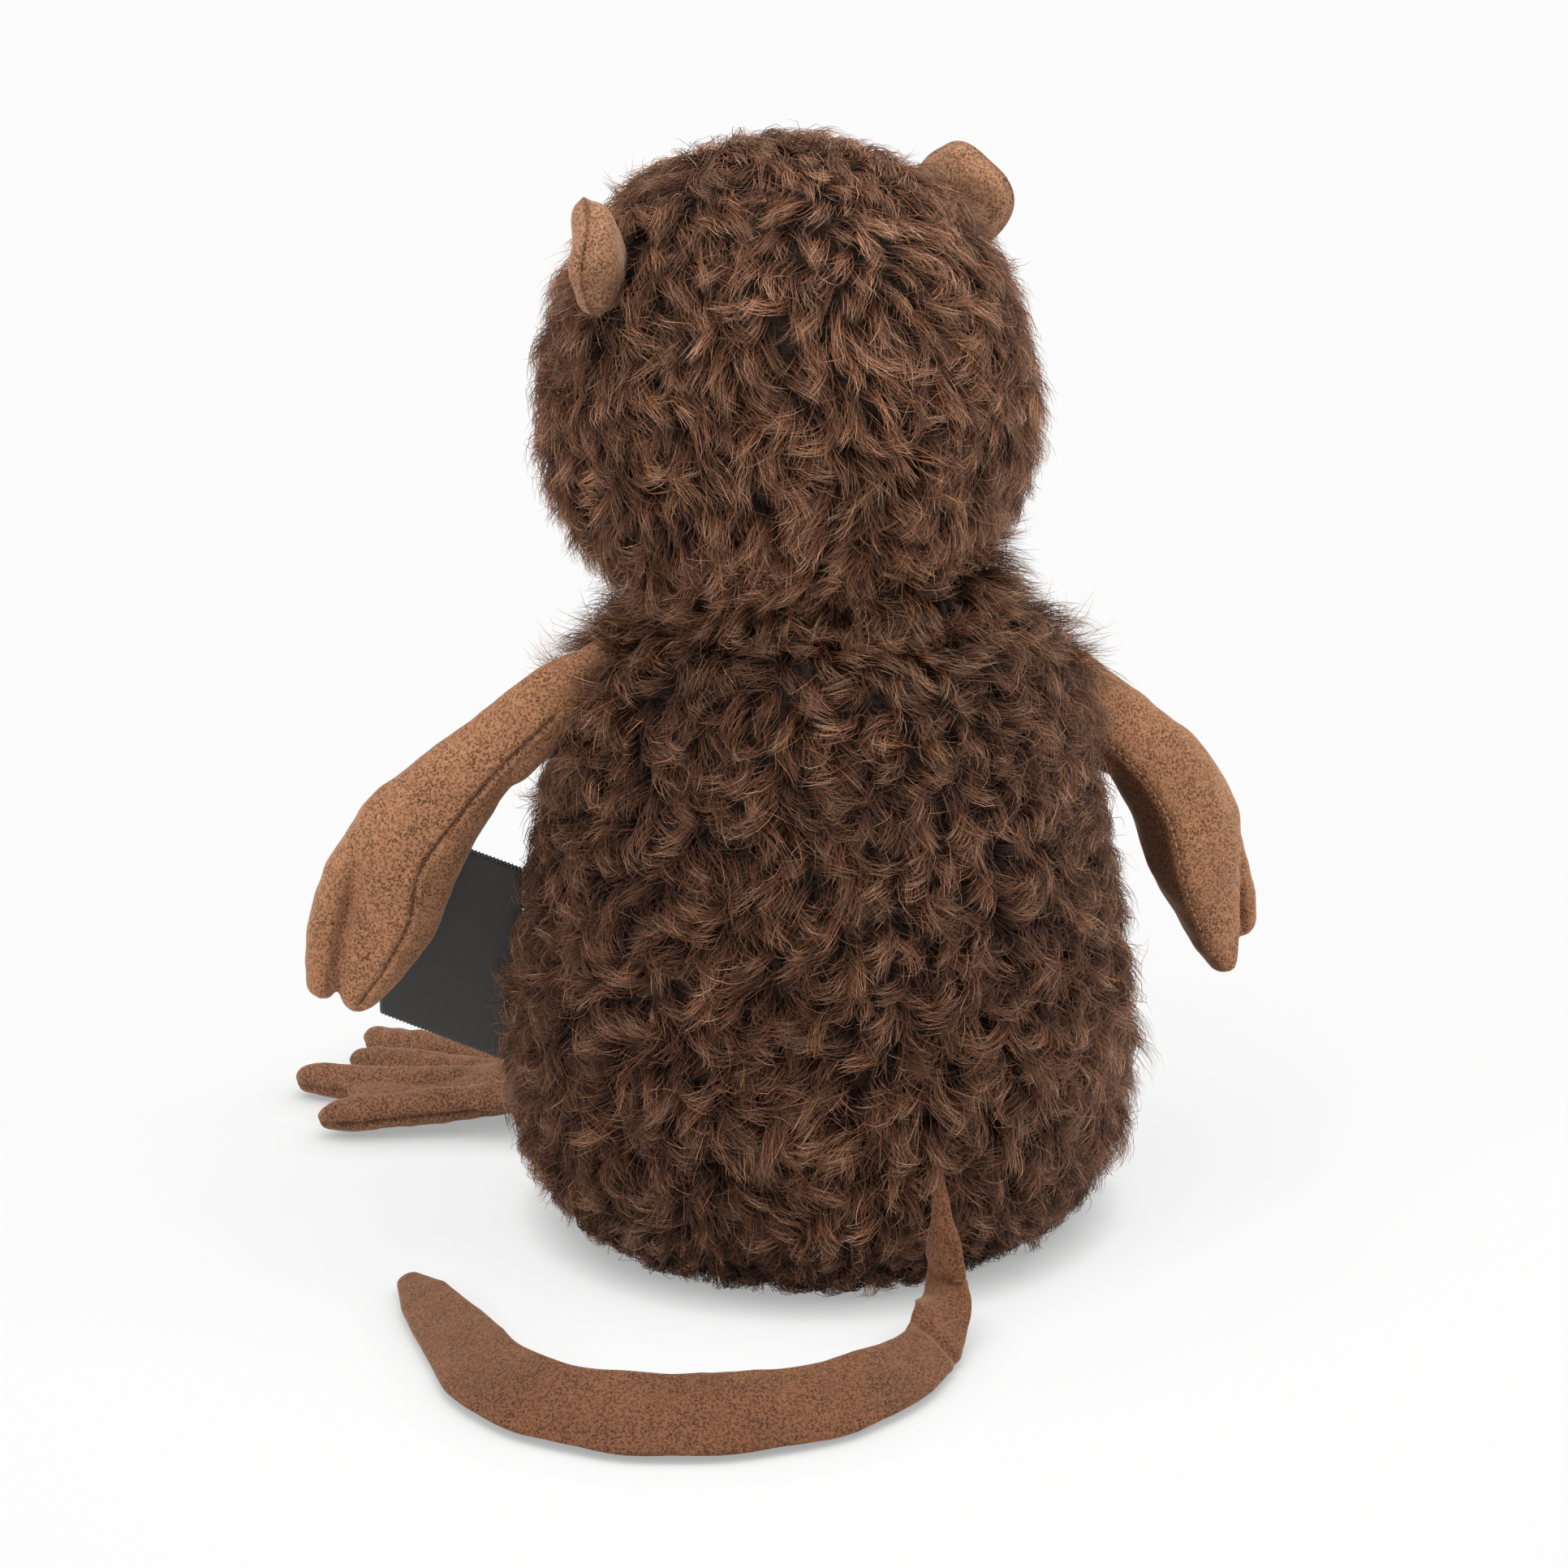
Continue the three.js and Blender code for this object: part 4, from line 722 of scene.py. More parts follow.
HAND_SHIFT = {"left": [0, 0, 0, 0, 0.2, -3.3, -3, -2],
              "right": [0, 0.8, 2.2, 2.6, 1.4, -0.7, 0.2, 1.6]}
HAND_ROUND = {"left": 5, "right": 9}
HAND_SHORTER = {"left": -0.01, "right": 0.035}
DIGIT_STOPS = [0.48, 0.6, 0.72, 0.85, 0.99]
DIGIT_RADII = [3.6, 3.6, 3.6, 3.8, 3.2]
DIGIT_OFFSETS = [7.2, 9.5, 10.2, 9.1, 6]
DIGIT_ROUND = 4
DIGIT_SHORTER = {"left": 0, "right": 0.05}
DIGIT_CLOSER = {"left": 0, "right": 0.9}
CREASE_STOPS = [0.77, 0.95]
CREASE_OFFSETS = [6, 3.6]
CREASE_LIFT = 4.5
ELBOW_STOPS = [0.08, 0.26, 0.34]
ELBOW_OFFSET = 4.6
ELBOW_SIZE = 4.6
SEAM_STOPS = [0.1, 0.985]
SEAM_TURN_STOPS = [0.35, 0.6]
SEAM_TURN = {"left": [24, 24], "right": [45, 62]}
SEAM_STRAIGHTENS = 0.12  # share of the length before the tip
SEAM_RIDGE = {"left": 0.3, "right": 1.2}
RIDGE_REACH = 4
SEAM_DEPTH = {"left": 0.6, "right": 0.35}
SEAM_WIDTH = 0.55
CREASE_DEPTH, CREASE_WIDTH = 1.2, 1.1
CREASE_SHADE = 0.7
# Painted shade over the right arm's inner panel, which faces the body; it starts at the seam and fades out
# further round the arm.
PANEL_SHADE_ON = {"left": 0, "right": 1}
PANEL_SHADE_EDGE = 1.5
PANEL_SHADE_FADE = 6
PANEL_SHADE_DEPTH = 13.8
ARM_GRAIN = 0.55
ARM_SMOOTHING = 4
ARM_DENTS = ((0.3, 17), (0.14, 6))
PUFF_SHARE = 0.3  # of the depth of a seam
PUFF_PLACE, PUFF_WIDTH = 2.4, 1.4  # in widths of a seam
STITCH_LENGTH = 1.6
STITCH_GAP = 0.5
STITCH_SECTIONS = 7
STITCH_BOW = 1.2  # in radii of the thread
STITCH_SINK = 0.7  # of the depth of a seam
THREAD_RADIUS = 0.2


def downhill(slope):
    return np.array([math.cos(slope), 0, -math.sin(slope)])


arm_bend = bend_through((0, 0, 0), ARM_START_PULL * downhill(ARM_START_SLOPE),
                        ARM_TIP - ARM_END_PULL * downhill(ARM_END_SLOPE), ARM_TIP, 200)
arm_walked = walked_along(arm_bend)
arm_slopes = unit(np.gradient(arm_bend, axis=0))
ARM_LENGTH = arm_walked[-1]


def arm_at(share, side_name):
    """Middle of an arm, the way to its hand's outer edge and the way to its back, in the arm's frame."""
    walked = np.asarray(share) * ARM_LENGTH
    middle = np.stack([np.interp(walked, arm_walked, arm_bend[:, axis]) for axis in range(3)], 1)
    along = np.stack([np.interp(walked, arm_walked, arm_slopes[:, axis]) for axis in range(3)], 1)
    middle += (walked - np.clip(walked, 0, ARM_LENGTH))[:, None] * along
    outer = np.cross(along, [0, 1, 0])
    settled = np.clip(np.asarray(share) / HAND_AT, 0, 1)
    turn = (HAND_TWIST[side_name] * settled**2 * (3 - 2 * settled))[:, None]
    forwards = np.array([0, -1, 0])
    wide = np.cos(turn) * outer + np.sin(turn) * forwards
    return middle + ARM_ASIDE[side_name] * wide, wide, np.sin(turn) * outer - np.cos(turn) * forwards


def ease_through(share, stops, values):
    """Values at some shares on a smooth curve that goes through the values at the stops."""
    slopes = np.gradient(values, stops)
    stops, values = np.array(stops), np.array(values)
    piece = np.clip(np.searchsorted(stops, share, side="right") - 1, 0, len(stops) - 2)
    span = stops[piece + 1] - stops[piece]
    part = np.clip((share - stops[piece]) / span, 0, 1)
    leaving = (values[piece] * (1 + 2 * part) + slopes[piece] * span * part) * (1 - part) ** 2
    coming = (values[piece + 1] * (3 - 2 * part) - slopes[piece + 1] * span * (1 - part)) * part**2
    return leaving + coming


def tube_shell(middles, wide, thick, half_wide, half_thick, sides):
    """A closed tube round a line of middles, as wide and thick at each as those say."""
    turns = np.linspace(0, 2 * np.pi, sides, endpoint=False)
    wide = np.broadcast_to(wide, middles.shape)
    thick = np.broadcast_to(thick, middles.shape)
    reach_wide = np.asarray(half_wide)[:, None, None] * np.cos(turns)[None, :, None] * wide[:, None]
    reach_thick = np.asarray(half_thick)[:, None, None] * np.sin(turns)[None, :, None] * thick[:, None]
    points = (middles[:, None] + reach_wide + reach_thick).reshape(-1, 3)
    return points, tube_faces(len(middles), sides)


def rounded(distance, radius):
    """The share of its full width that a blunt end has at that distance from its tip."""
    inside = np.clip(np.asarray(distance) / radius, 0, 1)
    return np.sqrt(1 - (1 - inside) ** 2) + 0.02


def join_shells(shells):
    points, faces = [], []
    for shell_points, shell_faces in shells:
        start = len(points)
        points.extend(shell_points)
        faces.extend(tuple(start + corner for corner in face) for face in shell_faces)
    return np.array(points), faces


def fuse(shells, grain, rounds):
    """One closed form from overlapping shells, with an even mesh of that grain, smoothed some rounds."""
    points, faces = join_shells(shells)
    mesh = bpy.data.meshes.new("shells")
    mesh.from_pydata(points * MM, [], faces)
    blank = bpy.data.objects.new("shells", mesh)
    bpy.context.collection.objects.link(blank)
    remesh = blank.modifiers.new("remesh", "REMESH")
    remesh.mode = "VOXEL"
    remesh.voxel_size = grain * MM
    soften = blank.modifiers.new("soften", "SMOOTH")
    soften.factor = 0.5
    soften.iterations = rounds
    even = bpy.data.meshes.new_from_object(blank.evaluated_get(bpy.context.evaluated_depsgraph_get()))
    even_points = np.empty(3 * len(even.vertices))
    even.vertices.foreach_get("co", even_points)
    even_faces = [tuple(face.vertices) for face in even.polygons]
    bpy.data.objects.remove(blank)
    return even_points.reshape(-1, 3) / MM, even_faces


def ways_out(points, faces):
    """The way out of a closed form at each of its points."""
    first, second, third, fourth = np.array(faces).T
    spans = np.cross(points[third] - points[first], points[fourth] - points[second])
    ways = np.zeros_like(points)
    for corner in (first, second, third, fourth):
        np.add.at(ways, corner, spans)
    return unit(ways)


def dent(points, ways, sizes, rng):
    """Points of a form moved in and out by smooth dents, each with a depth and a wavelength."""
    return points + ways * add_drifts(points, sizes, rng)[:, None]


def nearest_on(points, line):
    """Which point of a line is the nearest to each point, and how far away it is."""
    which = np.zeros(len(points), int)
    away = np.full(len(points), np.inf)
    for number, spot in enumerate(line):
        gap = np.linalg.norm(points - spot, axis=1)
        which[gap < away] = number
        away = np.minimum(away, gap)
    return which, away


def sew(points, ways, seam, depth, width):
    """Points pressed in along a seam and puffed up beside it, and a mark, 0 to 1, for how near each is."""
    away = nearest_on(points, seam)[1]
    groove = np.exp(-((away / width) ** 2))
    puff = np.exp(-(((away - PUFF_PLACE * width) / (PUFF_WIDTH * width)) ** 2))
    return points + ways * (PUFF_SHARE * depth * puff - depth * groove)[:, None], groove


def mark_points(piece, name, marks):
    piece.data.attributes.new(name, "FLOAT", "POINT").data.foreach_set("value", marks)


def along_line(line, step):
    """Points at an even step along a line of points."""
    walked = walked_along(line)
    stops = np.arange(0, walked[-1], step)
    return np.stack([np.interp(stops, walked, line[:, axis]) for axis in range(3)], 1)


def stitch_shells(seam, lifts):
    """Short threads laid end to end along a seam, each bowed a little outwards."""
    share = np.linspace(-1, 1, STITCH_SECTIONS)
    radii = THREAD_RADIUS * np.sqrt(np.clip(1.02 - share**2, 0, 1))
    fine_seam = along_line(seam, 0.1)
    shells = []
    for spot in along_line(seam, STITCH_LENGTH + STITCH_GAP)[1:-1]:
        place = int(np.linalg.norm(fine_seam - spot, axis=1).argmin())
        way = unit(fine_seam[min(place + 5, len(fine_seam) - 1)] - fine_seam[max(place - 5, 0)])
        lift = lifts[np.linalg.norm(seam - spot, axis=1).argmin()]
        middles = (spot + (share * STITCH_LENGTH / 2)[:, None] * way
                   + ((1 - share**2) * STITCH_BOW * THREAD_RADIUS)[:, None] * lift)
        shells.append(tube_shell(middles, unit(np.cross(lift, way)), lift, radii, radii, 6))
    return shells


# Suede speckle: fine dark flecks over slow patches where the suede's pile lies another way
FLECK_SCALE = 1600
FLECK_WOBBLE = 0.8 * MM
FINE_GRAIN_SCALE = 2000
UNSHADED = (1, 1, 1, 1)
# The suede darkens along a seam, partly as a sewn joint does and partly as painted shade down in its
# groove. In a crease and over an arm's inner panel the darkening is painted shade.
SUEDE_SHADES = {
    "seam": [(0.0, UNSHADED), (0.45, (0.92, 0.9, 0.88, 1)), (1.0, (0.42, 0.36, 0.32, 1))],
    "inner_panel_shade": [(0.0, UNSHADED), (1.0, (0.32, 0.26, 0.22, 1))],
}
speckle = new_group("suede_speckle", {"Ground": "Color", "Fleck": "Color"},
                    {"Colour": "Color", "Height": "Float"})
speckle_in = speckle.nodes.new("NodeGroupInput")
speckle_spot = add_node(speckle, "TexCoord", {}).outputs["Object"]


def speckle_noise(scale, detail, distortion):
    noise = add_node(speckle, "TexNoise", {
        "Vector": speckle_spot, "Scale": scale, "Detail": detail, "Distortion": distortion,
    })
    return noise.outputs


def speckle_scale(colour, scale):
    return add_node(speckle, "VectorMath", {0: colour, "Scale": scale}, operation="SCALE").outputs["Vector"]


wobbled = add_node(speckle, "VectorMath", {
    0: speckle_noise(900, 2, 0)["Color"], 1: (FLECK_WOBBLE, FLECK_WOBBLE, FLECK_WOBBLE), 2: speckle_spot,
}, operation="MULTIPLY_ADD")
dots = add_node(speckle, "TexVoronoi", {"Vector": wobbled.outputs["Vector"], "Scale": FLECK_SCALE})
fleck_mask = add_range(speckle, dots.outputs["Distance"], 0.3, 0.62, 1, 0)
fleck_reach = add_range(speckle, speckle_noise(260, 2, 0.5)["Fac"], 0.35, 0.6, 0.55, 0.9)
fleck_share = add_node(speckle, "Math", {0: fleck_mask, 1: fleck_reach}, operation="MULTIPLY")
flecked = add_node(speckle, "Mix", {
    "Factor": fleck_share.outputs[0], "A": speckle_in.outputs["Ground"], "B": speckle_in.outputs["Fleck"],
}, data_type="RGBA")
nap_patches = add_range(speckle, speckle_noise(70, 3, 0.6)["Fac"], 0.3, 0.7, 0.9, 1.1)
fine_grain = speckle_noise(FINE_GRAIN_SCALE, 3, 0)["Fac"]
grain_tone = add_range(speckle, fine_grain, 0.3, 0.7, 0.74, 1.28)
napped = speckle_scale(flecked.outputs["Result"], nap_patches)
feed(speckle, speckle.nodes.new("NodeGroupOutput"), {
    "Colour": speckle_scale(napped, grain_tone), "Height": fine_grain,
})


def suede(name, ground, fleck):
    """Suede cloth with flecks, with painted shade along its seams and creases and over the inner panel of
    an arm.
    """
    material, tree, shader = new_material(name, {
        "Roughness": 0.95, "Specular IOR Level": 0.2,
        "Sheen Weight": 0.5, "Sheen Roughness": 0.45, "Sheen Tint": tint(232, 196, 168),
    })
    flecks = add_node(tree, "Group", {}, node_tree=speckle)
    feed(tree, flecks, {"Ground": ground, "Fleck": fleck})
    colour = flecks.outputs["Colour"]
    for name_of_mark, stops in SUEDE_SHADES.items():
        mark = add_node(tree, "Attribute", {}, attribute_name=name_of_mark)
        colour = multiply(tree, colour, add_ramp(tree, mark.outputs["Fac"], stops))
    bump = add_node(tree, "Bump", {
        "Height": flecks.outputs["Height"], "Strength": 0.6, "Distance": 0.15 * MM,
    })
    feed(tree, shader, {"Base Color": colour, "Normal": bump.outputs["Normal"]})
    return material


arm_suede = suede("arm_suede", tint(163, 116, 84), tint(76, 46, 31))
seam_thread = grained("seam_thread", {"Roughness": 0.7}, 2500, 2,
                      (0.3, tint(50, 30, 20)), (0.7, tint(96, 64, 44)))
# The right arm's stitches are pale, a painted highlight on its raised seam ridge.
ridge_highlight_thread = suede("ridge_highlight_thread", tint(196, 150, 114), tint(150, 108, 80))
arm_threads = {"left": seam_thread, "right": ridge_highlight_thread}

for side_name, side in SIDES:
    arm_end = ARM_STOPS[-1] - HAND_SHORTER[side_name]

    def arm_section(stops):
        """Middle, ways and half sizes of the main tube of the arm at some shares of its length."""
        middles, wide, back = arm_at(stops, side_name)
        middles = middles + ease_through(stops, ARM_STOPS, HAND_SHIFT[side_name])[:, None] * wide
        hand_end = rounded((arm_end - stops) * ARM_LENGTH, HAND_ROUND[side_name])
        half_wide = ease_through(stops, ARM_STOPS, ARM_HALF_WIDE[side_name]) * hand_end
        half_thick = ease_through(stops, ARM_STOPS, ARM_HALF_THICK) * hand_end
        return middles, wide, back, half_wide, half_thick

    arm_shells = [tube_shell(*arm_section(np.linspace(ARM_STOPS[0], arm_end, 70)), 40)]
    digit_end = DIGIT_STOPS[-1] - HAND_SHORTER[side_name] - DIGIT_SHORTER[side_name]
    digit_stops = np.linspace(DIGIT_STOPS[0], digit_end, 34)
    digit_middles, digit_wide, digit_back = arm_at(digit_stops, side_name)
    digit_offsets = ease_through(digit_stops, DIGIT_STOPS, DIGIT_OFFSETS) - DIGIT_CLOSER[side_name]
    digit_middles += digit_offsets[:, None] * digit_wide
    digit_radii = (ease_through(digit_stops, DIGIT_STOPS, DIGIT_RADII)
                   * rounded((digit_end - digit_stops) * ARM_LENGTH, DIGIT_ROUND)
                   * rounded((digit_stops - DIGIT_STOPS[0]) * ARM_LENGTH, 2 * DIGIT_ROUND))
    arm_shells.append(tube_shell(digit_middles, digit_wide, digit_back, digit_radii, 1.4 * digit_radii, 24))
    elbow_stops = np.linspace(ELBOW_STOPS[0], ELBOW_STOPS[-1], 25)
    elbow_middles, elbow_wide, elbow_back = arm_at(elbow_stops, side_name)
    elbow_rise = np.interp(elbow_stops, ELBOW_STOPS, [-1, 0, 1])
    elbow_size = ELBOW_SIZE * np.sqrt(1.02 - elbow_rise**2)
    arm_shells.append(tube_shell(elbow_middles - ELBOW_OFFSET * elbow_wide, elbow_wide, elbow_back,
                                 elbow_size, elbow_size, 20))
    arm_points, arm_faces = fuse(arm_shells, ARM_GRAIN, ARM_SMOOTHING)
    arm_ways = ways_out(arm_points, arm_faces)
    arm_points = dent(arm_points, arm_ways, ARM_DENTS, np.random.default_rng(41 + side))

    seam_stops = np.linspace(SEAM_STOPS[0], SEAM_STOPS[1] - HAND_SHORTER[side_name], 160)
    seam_middles, seam_wide, seam_back, seam_half_wide, seam_half_thick = arm_section(seam_stops)
    seam_turn = np.radians(np.interp(seam_stops, SEAM_TURN_STOPS, SEAM_TURN[side_name]))
    seam_turn *= np.clip((1 - seam_stops) / SEAM_STRAIGHTENS, 0.1, 1)
    seam_lift = turned(seam_back, -seam_wide, seam_turn)
    seam_inner = turned(-seam_wide, -seam_back, seam_turn)
    seam_reach = 1 / np.hypot(np.sin(seam_turn) / seam_half_wide, np.cos(seam_turn) / seam_half_thick)
    arm_seam = seam_middles + seam_reach[:, None] * seam_lift
    ridge = SEAM_RIDGE[side_name] * np.exp(-((nearest_on(arm_points, arm_seam)[1] / RIDGE_REACH) ** 2))
    arm_points = arm_points + arm_ways * ridge[:, None]
    arm_seam = arm_seam + SEAM_RIDGE[side_name] * seam_lift
    seam_spot = nearest_on(arm_points, arm_seam)[0]
    from_seam = arm_points - arm_seam[seam_spot]
    inwards = (from_seam * seam_inner[seam_spot]).sum(1)
    below = (from_seam * seam_lift[seam_spot]).sum(1)
    arm_panel_shade = np.clip(inwards / PANEL_SHADE_EDGE, 0, 1) * np.clip((below + PANEL_SHADE_DEPTH) / PANEL_SHADE_FADE, 0, 1)
    arm_points, seam_marks = sew(arm_points, arm_ways, arm_seam, SEAM_DEPTH[side_name], SEAM_WIDTH)
    crease_stops = np.linspace(*CREASE_STOPS, 60)
    crease_middles, crease_wide, crease_back = arm_at(crease_stops, side_name)
    crease_middles += np.interp(crease_stops, CREASE_STOPS, CREASE_OFFSETS)[:, None] * crease_wide
    creases = np.concatenate([crease_middles + face * CREASE_LIFT * crease_back for face in (-1, 1)])
    arm_points, crease_marks = sew(arm_points, arm_ways, creases, CREASE_DEPTH, CREASE_WIDTH)
    thread_line = arm_seam - STITCH_SINK * SEAM_DEPTH[side_name] * seam_lift
    stitch_points, stitch_faces = join_shells(stitch_shells(thread_line, seam_lift))
    mirror = np.array([1, side, 1])
    arm_turn = math.radians(-side * ARM_SWING[side_name]) + (0 if side > 0 else math.pi)
    arm_tilt = -math.radians(ARM_LIFT[side_name])
    arm_spin = Matrix.Rotation(arm_turn, 3, "Z") @ Matrix.Rotation(arm_tilt, 3, "Y")

    def from_arm(points):
        return points * mirror @ np.array(arm_spin).T + ARM_PLACE[side_name]

    arm = make_piece(f"arm_{side_name}_cloth", from_arm(arm_points), arm_faces, arm_suede, side < 0)
    # The cloth is darkened in the hand's creases too, painted shade.
    mark_points(arm, "seam", np.maximum(seam_marks, CREASE_SHADE * crease_marks))
    # Painted shade on the inner panel, on the right arm only.
    mark_points(arm, "inner_panel_shade", PANEL_SHADE_ON[side_name] * arm_panel_shade)
    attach(arm, f"arm_{side_name}")
    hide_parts(f"arm_{side_name}_skin", f"arm_{side_name}_filling")
    arm_stitches = make_piece(f"arm_{side_name}_stitches", from_arm(stitch_points), stitch_faces,
                              arm_threads[side_name], side < 0)
    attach(arm_stitches, f"arm_{side_name}")

# Feet
# Two flat webbed feet of the same suede cloth, each with four long stuffed toes, sewn to
# the front of the body at the heel. A sewn seam runs along each outer edge.
FOOT_PLACE = np.array([30.91, -57.61, 0])
FOOT_TURN = {"left": -37, "right": 245}
FOOT_THICKNESS = 9
FOOT_PAD_START = (-6, 0, 0)
FOOT_PAD_LENGTH = 46
FOOT_PAD_STOPS = [0, 0.8, 1]
FOOT_PAD_HALF_WIDE = [9, 15, 16]
FOOT_PAD_HALF_THICK = 4.2
FOOT_PAD_ROUND = 17
HEEL_ROUND = 6
TOE_TURNS = (19, -1, -12, -23)
TOE_LENGTHS = (68, 79, 72, 79)
TOE_START = 14
TOE_STOPS = [0, 0.3, 0.6, 0.85, 1]
TOE_HALF_WIDE = [3.4, 3.9, 4.2, 3.9, 3.2]
TOE_RISE = 4.2
TOE_TIP_ROUND = 5
TOE_ROOT_ROUND = 4
TOE_SEAM_START = 0.7
EDGE_SEAM_START, EDGE_SEAM_END = 0.05, 0.97
EDGE_SEAM_DROP = 1
WEB_THICKNESS = 3
WEB_REACH = 0.87
WEB_NOTCH = 0.93
HEEL_RAISE = 6
HEEL_SLOPE_REACH = 66
FOOT_GRAIN = 0.5
FOOT_SMOOTHING = 3
FOOT_DENTS = ((0.3, 14), (0.14, 5))
FOOT_SEAM_DEPTH, FOOT_SEAM_WIDTH = 0.6, 0.7
FOOT_STITCH_SINK = 0.3
UP = np.array([0, 0, 1])
foot_suede = suede("foot_suede", tint(136, 95, 70), tint(64, 39, 26))


def toe_way(order):
    turn = math.radians(TOE_TURNS[order])
    return np.array([math.cos(turn), math.sin(turn), 0])


def raise_heel(points):
    """Points of a foot on a slope from its raised heel down to its toes."""
    raised = points.copy()
    raised[:, 2] += HEEL_RAISE * np.clip(1 - points[:, 0] / HEEL_SLOPE_REACH, 0, 1.1)
    return raised


def level_shell(start, way, length, half_wide, half_thick, height):
    """A closed tube that runs level from a start, with those half sizes at even shares of its length."""
    share = np.linspace(0, 1, len(half_wide))
    middles = np.asarray(start) + share[:, None] * length * way + height * UP
    return tube_shell(middles, np.cross(UP, way), UP, half_wide, half_thick, 28)


def web_shell(order):
    """The flat web between a toe and the next, notched in the middle of its front edge."""
    first, second = toe_way(order), toe_way(order + 1)
    first_reach, second_reach = (WEB_REACH * length for length in TOE_LENGTHS[order:order + 2])
    notch = WEB_NOTCH * (first_reach + second_reach) / 2 * unit(first + second)
    edge = np.array([TOE_START * first, first_reach * first, notch,
                     second_reach * second, TOE_START * second])
    low = edge + (TOE_RISE - WEB_THICKNESS / 2) * UP
    corners = len(edge)
    faces = [tuple(range(corners)), tuple(range(2 * corners - 1, corners - 1, -1))]
    for corner in range(corners):
        after = (corner + 1) % corners
        faces.append((after, corner, corners + corner, corners + after))
    return np.concatenate([low, low + WEB_THICKNESS * UP]), faces


foot_share = np.linspace(0, 1, 60)
pad_end = (rounded((1 - foot_share) * FOOT_PAD_LENGTH, FOOT_PAD_ROUND)
           * rounded(foot_share * FOOT_PAD_LENGTH + 3, HEEL_ROUND))
pad_wide = np.interp(foot_share, FOOT_PAD_STOPS, FOOT_PAD_HALF_WIDE) * pad_end
foot_shells = [level_shell(FOOT_PAD_START, np.array([1, 0, 0]), FOOT_PAD_LENGTH, pad_wide,
                           FOOT_PAD_HALF_THICK * pad_end, FOOT_THICKNESS / 2)]
toe_seams = []
foot_stitch_shells = []
for order, length in enumerate(TOE_LENGTHS):
    way = toe_way(order)
    aside = np.cross(UP, way)
    run = length - TOE_START
    tip = rounded((1 - foot_share) * run, TOE_TIP_ROUND) * rounded(foot_share * run + 0.5, TOE_ROOT_ROUND)
    toe_wide = np.interp(foot_share, TOE_STOPS, TOE_HALF_WIDE) * tip
    foot_shells.append(level_shell(TOE_START * way, way, run, toe_wide, toe_wide, TOE_RISE))
    middles = (TOE_START + foot_share * run)[:, None] * way + (TOE_RISE - EDGE_SEAM_DROP) * UP
    for edge in (-1, 1):
        seam = middles + edge * 0.97 * toe_wide[:, None] * aside
        outermost = (order, edge) in ((0, 1), (len(TOE_LENGTHS) - 1, -1))
        toe_seams.append(seam[foot_share > (EDGE_SEAM_START if outermost else TOE_SEAM_START)])
        if outermost:
            sewn = seam[(foot_share > EDGE_SEAM_START) & (foot_share < EDGE_SEAM_END)]
            lifts = np.broadcast_to(edge * aside, sewn.shape)
            foot_stitch_shells += stitch_shells(sewn - FOOT_STITCH_SINK * lifts, lifts)
foot_shells += [web_shell(order) for order in range(len(TOE_LENGTHS) - 1)]
foot_form, foot_faces = fuse(foot_shells, FOOT_GRAIN, FOOT_SMOOTHING)
foot_ways = ways_out(foot_form, foot_faces)
stitch_points, stitch_faces = join_shells(foot_stitch_shells)

for side_name, side in SIDES:
    foot_points = dent(foot_form, foot_ways, FOOT_DENTS, np.random.default_rng(51 + side))
    foot_points, foot_marks = sew(
        foot_points, foot_ways, np.concatenate(toe_seams), FOOT_SEAM_DEPTH, FOOT_SEAM_WIDTH)
    foot_points[:, 2] = np.maximum(foot_points[:, 2], FLOOR_CLEARANCE)
    foot_spin = np.array(Matrix.Rotation(math.radians(FOOT_TURN[side_name]), 3, "Z"))
    mirror = np.array([1, side, 1])

    def from_foot(points):
        return raise_heel(points) * mirror @ foot_spin.T + FOOT_PLACE * np.array([side, 1, 1])

    foot = make_piece(f"foot_{side_name}_cloth", from_foot(foot_points), foot_faces, foot_suede, side < 0)
    mark_points(foot, "seam", foot_marks)
    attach(foot, f"foot_{side_name}")
    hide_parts(f"foot_{side_name}_skin", f"foot_{side_name}_filling")
    foot_stitches = make_piece(f"foot_{side_name}_stitches", from_foot(stitch_points), stitch_faces,
                               seam_thread, side < 0)
    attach(foot_stitches, f"foot_{side_name}")

# Tail
# A long flat strip of two suede panels sewn together at their edges. It comes down from the
# back of the body, folds over at the floor and lies round in an arc with its inner edge raised.
TAIL_ROOT = np.array([-1.2, 64, 33.5])
TAIL_FOLD = np.array([-0.8, 70.5, 9.5])
TAIL_ARC_WIDE = 50
TAIL_ARC_DEEP = 44
TAIL_ARC_CENTRE = np.array([51.5, 64, 0])
TAIL_ARC_START = math.radians(145)
TAIL_STRAIGHT = 53
TAIL_LEAN = math.radians(28)
TAIL_FOLD_LEAN = math.radians(-38)
TAIL_HALF_THICK = 1.5
TAIL_HALF_WIDE = [1, 2.4, 4.6, 6.2, 6, 8.4, 10.3, 8.6, 5.4, 2]
TAIL_TIP_ROUND = 4
TAIL_DENTS = ((0.35, 24), (0.05, 6))
TAIL_SEAM_DEPTH, TAIL_SEAM_WIDTH = 0.15, 0.4
TAIL_CREASE_SLANT = 0.012
TAIL_CREASE_DEPTH, TAIL_CREASE_WIDTH = 0.8, 1.1
TAIL_CREASE_SHADE = 1.4
TAIL_SEAM_SHADE = 0.4
